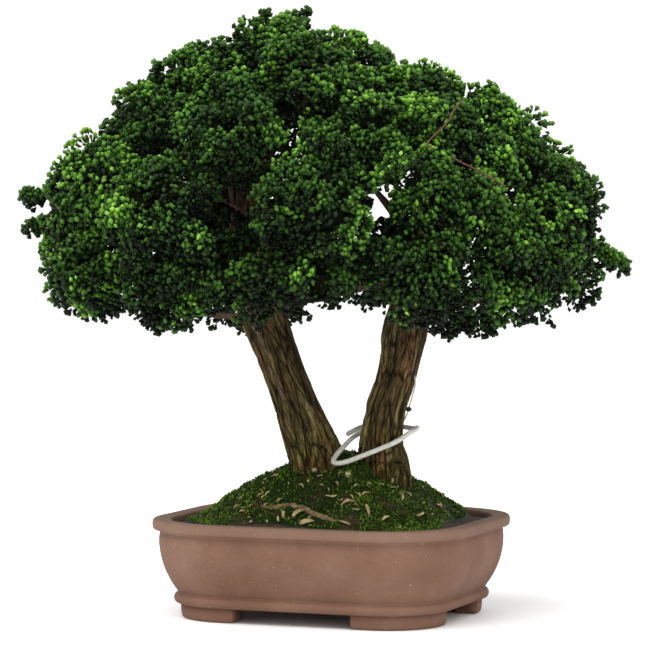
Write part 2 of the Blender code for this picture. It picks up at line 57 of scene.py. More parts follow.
# points given as rows of (u, w, z) become rows of (x, y, z)
def placed(rows):
    rows = np.asarray(rows, float)
    return potBase + rows[..., :1] * treeU + rows[..., 1:2] * treeW + rows[..., 2:3] * up


# each vector divided by its own length
def unit(vectors):
    return vectors / np.maximum(np.linalg.norm(vectors, axis=-1, keepdims=True), 1e-12)


# smooth noise from 0 to 1: hashed values on a lattice of the given cell size, eased between its corners
def lumpNoise(points, size, seed):
    q = np.asarray(points, float) / size + 1000.0
    cell = np.floor(q).astype(np.int64)
    ease = q - cell
    ease = ease * ease * (3 - 2 * ease)
    total = np.zeros(q.shape[:-1])
    for k in range(8):
        corner = np.array([k & 1, (k >> 1) & 1, (k >> 2) & 1])
        at = (cell + corner).astype(np.uint64)
        mixed = at[..., 0] * np.uint64(73856093) ^ at[..., 1] * np.uint64(19349663)
        mixed = mixed ^ at[..., 2] * np.uint64(83492791) ^ np.uint64(seed * 7919 + 17)
        mixed = (mixed ^ (mixed >> np.uint64(13))) * np.uint64(1274126177)
        value = ((mixed >> np.uint64(9)) & np.uint64(0xFFFF)).astype(float) / 65535.0
        total += value * np.prod(np.where(corner, ease, 1 - ease), axis=-1)
    return total


# a mesh object from points and corner lists of three or four, with values kept on its points
def makePiece(name, points, faces, materials, values=None, slots=None):
    mesh = bpy.data.meshes.new(name)
    blocks = [np.asarray(block, np.int32) for block in faces if len(block)]
    totals = np.concatenate([np.full(len(b), b.shape[1], np.int32) for b in blocks])
    corners = np.concatenate([b.ravel() for b in blocks])
    mesh.vertices.add(len(points))
    mesh.vertices.foreach_set("co", np.asarray(points, np.float32).ravel())
    mesh.loops.add(len(corners))
    mesh.loops.foreach_set("vertex_index", corners)
    mesh.polygons.add(len(totals))
    mesh.polygons.foreach_set("loop_start", np.concatenate([[0], np.cumsum(totals)[:-1]]).astype(np.int32))
    mesh.polygons.foreach_set("use_smooth", np.ones(len(totals), bool))
    if slots is not None:
        mesh.polygons.foreach_set("material_index", np.asarray(slots, np.int32))
    for label, value in (values or {}).items():
        value = np.asarray(value, np.float32)
        kind, field = ("FLOAT", "value") if value.ndim == 1 else ("FLOAT_VECTOR", "vector")
        layer = mesh.attributes.new(label, kind, "POINT")
        layer.data.foreach_set(field, value.ravel())
    mesh.update(calc_edges=True)
    mesh.validate()
    for material in materials:
        mesh.materials.append(material)
    piece = bpy.data.objects.new(name, mesh)
    bpy.context.scene.collection.objects.link(piece)
    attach(piece, "root")
    return piece


# quads between the neighbours of a grid of rows by columns, closed round the columns if asked
def gridFaces(rows, columns, wrap=True):
    r, c = np.meshgrid(np.arange(rows - 1), np.arange(columns if wrap else columns - 1), indexing="ij")
    n = (c + 1) % columns
    return np.stack([r * columns + c, r * columns + n, (r + 1) * columns + n, (r + 1) * columns + c], -1).reshape(-1, 4)


# evenly many points on a smooth curve through stations: the cubic whose slope at a station is half the
# step between its neighbours
def curveThrough(stations, count):
    pts = np.array(stations, float)
    ends = np.vstack([2 * pts[0] - pts[1], pts, 2 * pts[-1] - pts[-2]])
    s = np.linspace(0, len(pts) - 1, count)
    k = np.minimum(s.astype(int), len(pts) - 2)
    t = (s - k)[:, None]
    a, b, c, d = ends[k], ends[k + 1], ends[k + 2], ends[k + 3]
    bend = (2 * a - 5 * b + 4 * c - d) * t**2 + (3 * b - a - 3 * c + d) * t**3
    return 0.5 * (2 * b + (c - a) * t + bend)


# rings round a line, at a radius for each ring or each of its angles: point = line + r (side cos a + other sin a)
def ringsRound(line, ahead, side, radius, sides):
    other = np.cross(ahead, side)
    a = np.linspace(0, 2 * np.pi, sides, endpoint=False)[None, :, None]
    return line[:, None] + (side[:, None] * np.cos(a) + other[:, None] * np.sin(a)) * radius[..., None]


# a tube whose rings all face one way: side is the tree's u made square to the line
def tubePoints(line, radius, sides):
    ahead = unit(np.gradient(line, axis=0))
    side = unit(treeU - ahead * (ahead @ treeU)[:, None])
    return ringsRound(line, ahead, side, radius, sides)


# a tube whose rings turn with the line: each side is the one before, made square to the line again
def carriedTube(line, radius, sides):
    ahead = unit(np.gradient(line, axis=0))
    side = np.zeros_like(line)
    current = unit(np.cross(ahead[0], up))
    for k, direction in enumerate(ahead):
        current = unit(current - direction * (current @ direction))
        side[k] = current
    return ringsRound(line, ahead, side, radius[:, None], sides)


# a tube's rings with a point added at each end to close it
def closedTube(rings):
    rows, sides = rings.shape[:2]
    points = np.vstack([rings.reshape(-1, 3), rings[0].mean(0), rings[-1].mean(0)])
    k = np.arange(sides)
    n = (k + 1) % sides
    first, last = rows * sides, rows * sides + 1
    base = (rows - 1) * sides
    firstEnd = np.stack([n, k, np.full(sides, first)], 1)
    lastEnd = np.stack([base + k, base + n, np.full(sides, last)], 1)
    return points, [gridFaces(rows, sides), np.vstack([firstEnd, lastEnd])]


# several closed shells as one set of points and faces: each shell's corners count on from the last one's
def joined(shells):
    points, faces, start = [], [], 0
    for shell, blocks in shells:
        points.append(shell)
        faces += [block + start for block in blocks]
        start += len(shell)
    return np.vstack(points), faces


# Materials


# a material with its node tree and its shader, whose roughness and specular level are the same all over
def newMaterial(name, roughness, specular=0.4):
    material = bpy.data.materials.new(name)
    material.use_nodes = True
    shader = material.node_tree.nodes["Principled BSDF"]
    filled(material.node_tree, shader, {"Roughness": roughness, "Specular IOR Level": specular})
    return material, material.node_tree, shader


# a node with its inputs filled, by name or number, each with a plain value or from another node's socket
def filled(tree, node, inputs):
    for name, value in inputs.items():
        if isinstance(value, bpy.types.NodeSocket):
            tree.links.new(value, node.inputs[name])
        else:
            node.inputs[name].default_value = value
    return node


# a value kept on the piece's points
def pieceValue(tree, label, output="Fac"):
    node = tree.nodes.new("ShaderNodeAttribute")
    node.attribute_name = label
    return node.outputs[output]


# a pattern's place, its third coordinate times along, so that the pattern is longer where along is small
def stretched(tree, place, along):
    inputs = {"Vector": place, "Scale": (1, 1, along)}
    return filled(tree, tree.nodes.new("ShaderNodeMapping"), inputs).outputs["Vector"]


# a place in the piece's own coordinates
def objectPlace(tree, along=1):
    return stretched(tree, tree.nodes.new("ShaderNodeTexCoord").outputs["Object"], along)


# a place on a trunk: two coordinates round it and one along it
def barkPlace(tree, along):
    return stretched(tree, pieceValue(tree, "barkPlace", "Vector"), along)


# cloudy values round a half: octaves of noise, each finer and weaker by rough
def noise(tree, vector, scale, detail=4.0, rough=0.55):
    inputs = {"Vector": vector, "Scale": scale, "Detail": detail, "Roughness": rough}
    return filled(tree, tree.nodes.new("ShaderNodeTexNoise"), inputs).outputs["Fac"]


# a colour from a value: straight steps between stops of (value, colour)
def ramp(tree, value, stops):
    node = filled(tree, tree.nodes.new("ShaderNodeValToRGB"), {"Fac": value})
    band = node.color_ramp
    while len(band.elements) < len(stops):
        band.elements.new(0.5)
    for element, (at, colour) in zip(band.elements, stops):
        element.position = at
        element.color = (*colour, 1.0)
    return node.outputs["Color"]


# first mixed by share with second or, where how is MULTIPLY, with first times second
def mixColour(tree, share, first, second, how="MIX"):
    node = tree.nodes.new("ShaderNodeMix")
    node.data_type, node.blend_type = "RGBA", how
    if isinstance(second, tuple):
        second = (*second, 1.0)
    return filled(tree, node, {0: share, 6: first, 7: second}).outputs[2]


# a value carried from the range low..high to toLow..toHigh, and held at its ends
def reach(tree, value, low, high, toLow=0.0, toHigh=1.0):
    inputs = {"Value": value, "From Min": low, "From Max": high, "To Min": toLow, "To Max": toHigh}
    return filled(tree, tree.nodes.new("ShaderNodeMapRange"), inputs).outputs["Result"]


# first times second
def product(tree, first, second):
    node = tree.nodes.new("ShaderNodeMath")
    node.operation = "MULTIPLY"
    return filled(tree, node, {0: first, 1: second}).outputs["Value"]


# 0 on the borders between cells of unlike shape, rising to 1 at width from them
def crackLines(tree, vector, scale, width):
    node = tree.nodes.new("ShaderNodeTexVoronoi")
    node.feature = "DISTANCE_TO_EDGE"
    return reach(tree, filled(tree, node, {"Vector": vector, "Scale": scale}).outputs["Distance"], 0.0, width)


# a material's colour, and fine relief that only tilts the light: height times strength
def setLook(tree, shader, colour, height=None, strength=0.0, distance=0.0):
    filled(tree, shader, {"Base Color": colour})
    if height:
        inputs = {"Height": height, "Strength": strength, "Distance": distance}
        relief = filled(tree, tree.nodes.new("ShaderNodeBump"), inputs)
        filled(tree, shader, {"Normal": relief.outputs["Normal"]})


# reddish clay: three tones by large clouds, times fine grain, greyer where the lip is worn, with
# pale scuffs in a few patches and pale specks
def clayMaterial():
    material, tree, shader = newMaterial("unglazedClay", 0.82, 0.25)
    place = objectPlace(tree)
    cloud = noise(tree, place, 14.0, 5.0, 0.6)
    tones = ((0.28, (0.13, 0.064, 0.04)), (0.5, (0.165, 0.086, 0.056)), (0.74, (0.205, 0.118, 0.082)))
    body = ramp(tree, cloud, tones)
    fine = noise(tree, place, 900.0, 2.0, 0.7)
    grain = ramp(tree, fine, ((0.3, (0.72, 0.72, 0.72)), (0.62, (1.12, 1.1, 1.08))))
    body = mixColour(tree, 0.55, body, grain, "MULTIPLY")
    worn = reach(tree, pieceValue(tree, "lip"), 0.0, 1.0, 0.0, 0.42)
    body = mixColour(tree, worn, body, (0.18, 0.118, 0.086))
    scuffs = reach(tree, noise(tree, objectPlace(tree, 2.4), 55.0, 7.0, 0.72), 0.66, 0.76)
    patch = reach(tree, noise(tree, place, 9.0, 2.0), 0.48, 0.66)
    scuffed = reach(tree, product(tree, scuffs, patch), 0.0, 1.0, 0.0, 0.55)
    body = mixColour(tree, scuffed, body, (0.46, 0.4, 0.37))
    specks = reach(tree, noise(tree, place, 420.0, 1.0), 0.74, 0.8, 0.0, 0.6)
    body = mixColour(tree, specks, body, (0.45, 0.38, 0.34))
    setLook(tree, shader, body, fine, 0.22, 0.0006)
    return material


# bark: dark to tan by the relief, fibres and strips, reddish in patches, green-brown where damp, times
# two nets of cracks; the dark in the relief's cracks and crack nets is partly the bark's own and partly painted shade,
# and the light tan on the raised strips is partly painted highlight
def barkMaterial():
    material, tree, shader = newMaterial("fissuredBark", 0.9, 0.08)
    fibre = reach(tree, noise(tree, barkPlace(tree, 0.1), 760.0, 6.0, 0.8), 0.36, 0.64)
    strips = reach(tree, noise(tree, barkPlace(tree, 0.09), 210.0, 4.0, 0.6), 0.34, 0.66)
    # the relief darkens the cracks and lightens the raised strips: painted shade and painted highlight over the bark's
    # own tones
    tone = mixColour(tree, 0.55, pieceValue(tree, "relief"), mixColour(tree, 0.42, fibre, strips))
    stops = (
        (0.1, (0.006, 0.0045, 0.0018)), (0.32, (0.03, 0.021, 0.009)),
        (0.52, (0.085, 0.06, 0.024)), (0.78, (0.27, 0.205, 0.092)),
    )
    body = ramp(tree, tone, stops)
    patches = reach(tree, noise(tree, barkPlace(tree, 0.35), 48.0, 4.0), 0.48, 0.62, 0.0, 0.75)
    body = mixColour(tree, patches, body, (1.2, 0.86, 0.92), "MULTIPLY")
    damp = reach(tree, pieceValue(tree, "damp"), 0.1, 1.0, 0.0, 0.6)
    body = mixColour(tree, damp, body, (0.86, 1.12, 0.42), "MULTIPLY")
    wide = crackLines(tree, barkPlace(tree, 0.14), 120.0, 0.085)
    thin = crackLines(tree, barkPlace(tree, 0.12), 290.0, 0.13)
    cracks = product(tree, reach(tree, wide, 0, 1, 0.1, 1.0), reach(tree, thin, 0, 1, 0.45, 1.0))
    # the crack nets darken the colour as well as the relief: partly the fissures' own dark, partly painted shade
    body = mixColour(tree, 1.0, body, cracks, "MULTIPLY")
    setLook(tree, shader, body, product(tree, cracks, reach(tree, fibre, 0, 1, 0.6, 1.0)), 0.8, 0.0016)
    return material


# greens by each point's tone, times a fine mottle; bare soil shows where the value bare says so
def leafMaterial(name, stops, bare=None):
    material, tree, shader = newMaterial(name, 0.55, 0.1)
    # each point's tone holds painted light and shade besides the greens' own variation
    body = ramp(tree, pieceValue(tree, "tone"), stops)
    place = objectPlace(tree)
    shades = ((0.3, (0.66, 0.68, 0.66)), (0.7, (1.26, 1.22, 1.1)))
    mottle = ramp(tree, noise(tree, place, 330.0, 2.0), shades)
    body = mixColour(tree, 0.8, body, mottle, "MULTIPLY")
    if bare:
        soilTones = ((0.35, tuple(0.35 * c for c in bare)), (0.7, tuple(3.0 * c for c in bare)))
        grains = ramp(tree, noise(tree, place, 420.0, 4.0), soilTones)
        body = mixColour(tree, pieceValue(tree, "bare"), body, grains)
    setLook(tree, shader, body)
    return material


# a dark and a light shade by fine grain, which is its relief too
def plainMaterial(name, dark, light, scale, roughness, bumpSize=0.0004):
    material, tree, shader = newMaterial(name, roughness, 0.3)
    grain = noise(tree, objectPlace(tree), scale, 5.0, 0.65)
    setLook(tree, shader, ramp(tree, grain, ((0.3, dark), (0.7, light))), grain, 0.5, bumpSize)
    return material


# Camera

viewSet = {
    "distance": 3.5,  # m from what it aims at
    "turn": 21.32,  # degrees to the right of the pot's long side
    "lift": 2.41,
    "aimHeight": 0.3,
    "lensPixels": 3500,
    "framePixels": 650,
    "aimPixel": (332.35, 314.77),  # where the aim falls in the photo
    "film": 36.0,
}


# the camera that takes the photo: on a line turned and lifted from the pot's front, at the set distance,
# with the film shifted so that the aim falls on its pixel
def makeCamera():
    data = bpy.data.cameras.new("photoCamera")
    size = viewSet["framePixels"]
    data.sensor_width = viewSet["film"]
    data.sensor_fit = "HORIZONTAL"
    data.lens = viewSet["lensPixels"] * viewSet["film"] / size
    data.shift_x = (size / 2 - viewSet["aimPixel"][0]) / size
    data.shift_y = (viewSet["aimPixel"][1] - size / 2) / size
    data.clip_end = 50
    turn, lift = math.radians(viewSet["turn"]), math.radians(viewSet["lift"])
    back = Vector((math.sin(turn) * math.cos(lift), -math.cos(turn) * math.cos(lift), math.sin(lift)))
    aim = Vector((potMiddle[0], potMiddle[1], viewSet["aimHeight"]))
    camera = bpy.data.objects.new("photoCamera", data)
    camera.location = aim + back * viewSet["distance"]
    camera.rotation_euler = back.to_track_quat("Z", "Y").to_euler()
    bpy.context.scene.collection.objects.link(camera)
    bpy.context.scene.camera = camera


makeCamera()
print("camera set")

# Pot

potSet = {
    "halfX": 0.166,
    "halfY": 0.14,
    "cornerR": 0.089,
    "footInset": 0.0285,
    "footDepth": 0.024,
    "footFrontX": 0.062,
    "footSideY": 0.046,
    "drainX": 0.066,
    "drainR": 0.014,
    "drainZ": 0.022,
    "cornerSteps": 22,
    "sideSteps": 10,
    "profileSteps": 110,
    # (depth, size of its lumps, seed) of the maker's uneven hand
    "hand": ((0.0005, 0.05, 3), (0.0004, 0.011, 4)),
    "lipFrom": 0.0865,  # height from which the lip is worn
    "footTop": 0.016,
}
cornerAt = (potSet["halfX"] - potSet["cornerR"], potSet["halfY"] - potSet["cornerR"])  # middle of a corner's round
# (inset from the rim's edge, height): up the outside, over the lip and down inside
potProfile = (
    (0.0275, 0.0145), (0.0255, 0.0146), (0.0228, 0.016), (0.0214, 0.0185), (0.0214, 0.021), (0.0226, 0.0236),
    (0.0247, 0.025), (0.0252, 0.0262), (0.0238, 0.028), (0.0212, 0.0316), (0.0182, 0.0362), (0.0142, 0.0436),
    (0.0108, 0.052), (0.0082, 0.061), (0.0068, 0.07), (0.0066, 0.077), (0.007, 0.083), (0.0074, 0.0852),
    (0.0068, 0.0866), (0.004, 0.0876), (0.0012, 0.0886), (0.0002, 0.0906), (0.0, 0.0935), (0.0003, 0.0962),
    (0.0014, 0.098), (0.0034, 0.0985), (0.01, 0.0983), (0.0168, 0.098), (0.0186, 0.0972), (0.0194, 0.0955),
    (0.0196, 0.09), (0.019, 0.082), (0.0172, 0.072), (0.019, 0.06), (0.024, 0.046), (0.03, 0.034),
    (0.036, 0.0285), (0.0405, 0.026),
)


# a rounded rectangle at an inset from the rim's edge: corners of radius R - inset round fixed middles,
# joined by straight sides; inset is one value for each row and z its height
def potOutline(inset, z):
    inset, z = np.atleast_1d(inset), np.atleast_1d(z)
    x, y = cornerAt
    middles = np.array([(x, y), (-x, y), (-x, -y), (x, -y)])
    a = np.linspace(0, np.pi / 2, potSet["cornerSteps"] + 1)
    stops = np.linspace(0, 1, potSet["sideSteps"] + 1)[1:-1]
    r = (potSet["cornerR"] - inset)[:, None, None]
    parts = []
    for k in range(4):
        turn = a + k * np.pi / 2
        ring = np.stack([np.cos(turn), np.sin(turn)], 1)
        here = middles[k] + r * ring
        ahead = middles[(k + 1) % 4] + r * ring[-1]
        parts += [here, here[:, -1:] + (ahead - here[:, -1:]) * stops[:, None]]
    flat = np.concatenate(parts, 1)
    height = np.broadcast_to(z[:, None, None], flat.shape[:2] + (1,))
    return np.concatenate([flat, height], 2) + potBase


# a bracket foot: a rounded section carried along the outline from its end on the long side, round the
# corner, to its end on the short side
def footPoints(signX, signY):
    x, y = cornerAt
    t = np.concatenate([[0, 0.012, 0.04], np.linspace(0.1, 0.9, 20), [0.96, 0.988, 1.0]])
    section = np.array([
        (0.004, 0.0), (0.0018, 0.0008), (0.0006, 0.0026), (0.0, 0.006), (-0.0004, potSet["footTop"]),
        (potSet["footDepth"], potSet["footTop"]), (potSet["footDepth"], 0.0022), (potSet["footDepth"] - 0.002, 0.0),
    ])
    turn = np.clip((t - 0.1) / 0.8, 0, 1) * np.pi / 2  # from facing the short side to facing the long side
    alongSide, alongFront = np.where(t < 0.1, (0.1 - t) / 0.1, 0), np.where(t > 0.9, (t - 0.9) / 0.1, 0)
    ease = np.minimum(1, np.minimum(t, 1 - t) / 0.03)
    rise = 0.0022 * (1 - ease) ** 2
    r = potSet["cornerR"] - potSet["footInset"] - section[:, 0]
    px = x + r[None, :] * np.cos(turn)[:, None] - (x - potSet["footFrontX"]) * alongFront[:, None]
    py = y + r[None, :] * np.sin(turn)[:, None] - (y - potSet["footSideY"]) * alongSide[:, None]
    pz = np.maximum(section[None, :, 1], rise[:, None])
    points = np.stack([signX * px, signY * py, pz], 2) + potBase
    return points if signX * signY > 0 else points[::-1]


# the pot: its profile carried along the rounded outline, moved in and out by low lumps; the feet are apart
def makePot():
    rows = curveThrough([(i, z, 0) for i, z in potProfile], potSet["profileSteps"])
    rings = potOutline(rows[:, 0], rows[:, 1])
    hand = sum(depth * (lumpNoise(rings, size, seed) - 0.5) for depth, size, seed in potSet["hand"])
    away = unit((rings - potMiddle) * np.array([1, 1, 0]))
    rings = rings + away * hand[..., None]
    points, faces = closedTube(rings)
    lip = np.append(np.clip((rings[..., 2] - potSet["lipFrom"]) / 0.004, 0, 1).ravel(), [0, 0])
    look = clayMaterial()
    pot = makePiece("clayPot", points, faces, [look], {"lip": lip})
    cutDrains(pot)
    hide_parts("pot")
    points, faces = joined(closedTube(footPoints(*signs)) for signs in ((1, 1), (-1, 1), (-1, -1), (1, -1)))
    feet = makePiece("bracketFeet", points, faces, [look], {"lip": np.zeros(len(points))})


# two round holes through the floor, cut and applied
def cutDrains(pot):
    for side in (-1, 1):
        bpy.ops.mesh.primitive_cylinder_add(vertices=48, radius=potSet["drainR"], depth=0.04)
        drain = bpy.context.object
        drain.location = (potMiddle[0] + side * potSet["drainX"], potMiddle[1], potSet["drainZ"])
        bpy.context.view_layer.update()
        cut = pot.modifiers.new("drain", "BOOLEAN")
        cut.operation, cut.object, cut.solver = "DIFFERENCE", drain, "EXACT"
        graph = bpy.context.evaluated_depsgraph_get()
        source = pot.evaluated_get(graph)
        result = bpy.data.meshes.new_from_object(source, preserve_all_data_layers=True, depsgraph=graph)
        pot.modifiers.clear()
        pot.data = result
        bpy.data.objects.remove(drain)


makePot()
print("pot made")

# Ground: the soil's mound, and the moss on it

groundSet = {
    "edgeZ": 0.0925,
    "height": 0.067,
    "top": (0.006, 0.022),  # u, w of the mound's top
    "powers": (2.0, 1.95),
    "mossT": 0.0045,
    "edgeInset": 0.02,
    "mossReach": 0.93,
    "swell": 0.0016,
    # (height, size, seed) of the soil's crumbs
    "crumbs": ((0.0022, 0.0035, 11), (0.003, 0.009, 12)),
    "sunk": 0.0003,
    "wallDepth": 0.03,
}


# height of the soil where share runs from 0 at the mound's top to 1 at the pot's wall: edge + H (1 - s^p)^q
# with low swells; points are rows of (x, y) seen from the pot's middle
def soilHeight(share, flat):
    p, q = groundSet["powers"]
    x, y = flat[..., 0], flat[..., 1]
    swell = groundSet["swell"] * (np.sin(61 * x + 23 * y + 1.0) + np.sin(71 * y - 37 * x + 2.4))
    rise = groundSet["height"] * np.clip(1 - share**p, 0, 1) ** q
    return groundSet["edgeZ"] + rise + swell * np.minimum(1, 4 * (1 - share))


# the mound on a grid of shares and of points round its edge: (share, points in the part's frame)
def groundGrid(shares, inset):
    edge = potOutline([inset], [0.0])[0][:, :2] - potMiddle[:2]
    middle = (placed([(*groundSet["top"], 0)])[0] - potMiddle)[:2]
    flat = middle + (edge - middle)[None] * shares[:, None, None]
    z = soilHeight(np.broadcast_to(shares[:, None], flat.shape[:2]), flat)
    return np.concatenate([flat + potMiddle[:2], z[..., None]], 2)


# how far the moss reaches towards the edge, in shares: a steady reach less waves of the angle round the pot
def mossEdge(points):
    angle = np.arctan2(points[..., 1] - potMiddle[1], points[..., 0] - potMiddle[0])
    return groundSet["mossReach"] - 0.04 * (1 + np.sin(3 * angle + 0.6)) + 0.02 * np.sin(8 * angle)


# the soil: the mound's grid with crumbs of two sizes on it, and a wall down inside the pot
def makeSoil():
    shares = np.linspace(0.03, 1.0, 90)
    grid = groundGrid(shares, groundSet["edgeInset"])
    crumbs = sum(height * (lumpNoise(grid, size, seed) - 0.5) for height, size, seed in groundSet["crumbs"])
    grid[..., 2] += crumbs - groundSet["sunk"]
    wall = grid[-1].copy()
    wall[:, 2] = groundSet["edgeZ"] - groundSet["wallDepth"]
    rings = np.concatenate([grid, wall[None]], 0)
    points, faces = closedTube(rings[::-1])
    looks = plainMaterial("darkSoil", (0.012, 0.009, 0.006), (0.075, 0.052, 0.034), 260.0, 0.95, 0.001)
    soil = makePiece("soilBed", points, faces, [looks])
    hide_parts("soil")


# small bodies with few corners: a root point, a ring at ringAt of the length and a tip; rows of places,
# directions, lengths and widths give one body each, thinner by flatShare along flatWay. Returns points, faces
# and each point's share of the length
def knobs(places, directions, lengths, widths, ringAt=0.7, flatWay=None, flatShare=1.0, corners=4):
    directions = unit(directions)
    helper = flatWay
    if flatWay is None:
        helper = np.where(np.abs(directions[:, 2:3]) < 0.8, up[None], np.array([[1.0, 0, 0]]))
    side = unit(np.cross(directions, helper))
    other = np.cross(directions, side) * flatShare
    a = np.linspace(0, 2 * np.pi, corners, endpoint=False)[None, :, None]
    ring = side[:, None] * np.cos(a) + other[:, None] * np.sin(a)
    middle = places[:, None] + directions[:, None] * (ringAt * lengths)[:, None, None]
    ring = middle + ring * (widths / 2)[:, None, None]
    tip = places + directions * lengths[:, None]
    points = np.concatenate([places[:, None], ring, tip[:, None]], 1).reshape(-1, 3)
    k = np.arange(corners)
    n = (k + 1) % corners
    foot = np.stack([np.zeros(corners, int), n + 1, k + 1], 1)
    one = np.vstack([foot, np.stack([k + 1, n + 1, np.full(corners, corners + 1)], 1)])
    faces = (np.arange(len(places))[:, None, None] * (corners + 2) + one[None]).reshape(-1, 3)
    share = np.tile(np.array([0.0] + [ringAt] * corners + [1.0]), len(places))
    return points, faces, share


mossSet = {
    "shoots": 12600,
    "length": 0.004,
    "width": 0.0024,
    "rootDepth": 0.0012,
    "large": 0.014,  # size of the large cushions
    "small": 0.0055,
    "skirt": 0.004,  # how far its edge goes down into the soil
    "seed": 5,
}
# (share, u, w, width along u, width along w) of the bells that add to the moss or wear it off
mossBells = (
    (-0.75, -0.075, -0.066, 0.042, 0.03), (-0.5, 0.02, -0.118, 0.075, 0.022), (0.6, 0.005, -0.04, 0.045, 0.032),
)


# the moss: the mound raised by its thickness times two sizes of cushion, and shoots that lean out of it
def makeMoss():
    draw = np.random.default_rng(mossSet["seed"])
    shares = np.linspace(0.04, 1.0, 100)
    grid = groundGrid(shares, groundSet["edgeInset"])
    edge = np.minimum(1, mossEdge(grid))
    inside = grid[:1] + (grid - grid[:1]) * edge[..., None]
    inside[..., 2] = soilHeight(shares[:, None] * edge, inside[..., :2] - potMiddle[:2])
    thick = groundSet["mossT"] * np.clip((1.0 - shares) / 0.1, 0.15, 1)[:, None] ** 0.6
    cushions = lumpNoise(inside, mossSet["large"], 21) * 0.5 + lumpNoise(inside, mossSet["small"], 22) * 0.5
    cover = mossCover(inside)
    inside[..., 2] += thick * (0.1 + 0.95 * cushions * (0.4 + 0.6 * cover))
    skirt = inside[-1].copy()
    skirt[:, 2] -= mossSet["skirt"]
    points, faces = closedTube(np.concatenate([inside, skirt[None]], 0)[::-1])
    # shoots stand on the cushions, and few of them where the soil shows
    columns = grid.shape[1]
    row = np.sqrt(draw.uniform(0.01, 1, mossSet["shoots"])) * (len(shares) - 2)
    column = draw.uniform(0, columns, mossSet["shoots"])
    r, c = row.astype(int), column.astype(int)
    fr, fc = (row - r)[:, None], (column - c)[:, None]
    n = (c + 1) % columns
    first = inside[r, c] * (1 - fr) + inside[r + 1, c] * fr
    second = inside[r, n] * (1 - fr) + inside[r + 1, n] * fr
    spot = first * (1 - fc) + second * fc
    spot = spot[mossCover(spot) > draw.uniform(0.02, 0.62, len(spot))]
    outward = unit(spot - moundFoot)
    lean = outward * 0.5 + up * 0.8 + draw.normal(0, 0.48, spot.shape)
    high = lumpNoise(spot, mossSet["small"], 22)
    length = mossSet["length"] * draw.uniform(0.55, 1.3, len(spot)) * (0.6 + 0.6 * high)
    width = mossSet["width"] * draw.uniform(0.6, 1.2, len(spot))
    root = spot - up * mossSet["rootDepth"]
    shoot, shootFaces, shootShare = knobs(root, lean, length, width, 0.5, corners=3)
    # besides tone that differs at random, shoots are lighter on the high cushions and at their tips and darker at their
    # roots among the other shoots: painted light and shade
    tone = 0.1 + 0.3 * lumpNoise(spot, 0.016, 24) + 0.34 * high + draw.uniform(-0.14, 0.22, len(spot))
    tone = np.repeat(tone, len(shoot) // len(spot)) * (0.22 + 0.85 * shootShare)
    base = len(points)
    # the mat's points run from its skirt up to the mound's top, with its two end points last
    brown = np.append((1 - np.concatenate([cover, cover[-1:]], 0)[::-1]).ravel(), [0, 0])
    brown = np.concatenate([brown, np.zeros(len(shoot))])
    # the mat under the shoots stays dark, darker between the cushions: painted shade under and between the shoots
    low = np.append(0.02 + 0.2 * np.concatenate([cushions, cushions[-1:]], 0)[::-1].ravel(), [0, 0])
    look = leafMaterial("mossShoots", (
        (0.0, (0.003, 0.006, 0.002)), (0.2, (0.014, 0.03, 0.004)), (0.4, (0.052, 0.1, 0.01)),
        (0.62, (0.15, 0.26, 0.022)), (0.9, (0.38, 0.54, 0.06)),
    ), bare=(0.03, 0.019, 0.01))
    values = {"tone": np.concatenate([low, tone]), "bare": brown}
    moss = makePiece("mossMat", np.vstack([points, shoot]), faces + [shootFaces + base], [look], values)
    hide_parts("moss")


# how well the moss covers the soil, from 0 to 1: patches of noise, less a bell at the lower left and one
# at the front, plus one in the middle
def mossCover(points):
    flat = points - potMiddle
    u, w = flat @ treeU, flat @ treeW
    cover = lumpNoise(points, 0.017, 23) * 0.6 + lumpNoise(points, 0.006, 25) * 0.4
    cover = 1.45 * (cover - 0.16) / 0.36
    for share, atU, atW, wideU, wideW in mossBells:
        cover = cover + share * np.exp(-(((u - atU) / wideU) ** 2) - ((w - atW) / wideW) ** 2)
    return np.clip(cover, 0, 1)


# the ground under rows of (u, w): its height is the mean of the grid's four nearest, weighed by nearness
def onGround(rows):
    grid = groundGrid(np.linspace(0.02, 1.0, 120), groundSet["edgeInset"]).reshape(-1, 3)
    spots = placed([(u, w, 0) for u, w in rows])
    apart = np.linalg.norm(grid[None, :, :2] - spots[:, None, :2], axis=2)
    near = np.argsort(apart, axis=1)[:, :4]
    weight = 1 / (np.take_along_axis(apart, near, 1) + 1e-4)
    spots[:, 2] = (grid[near, 2] * weight).sum(1) / weight.sum(1)
    return spots


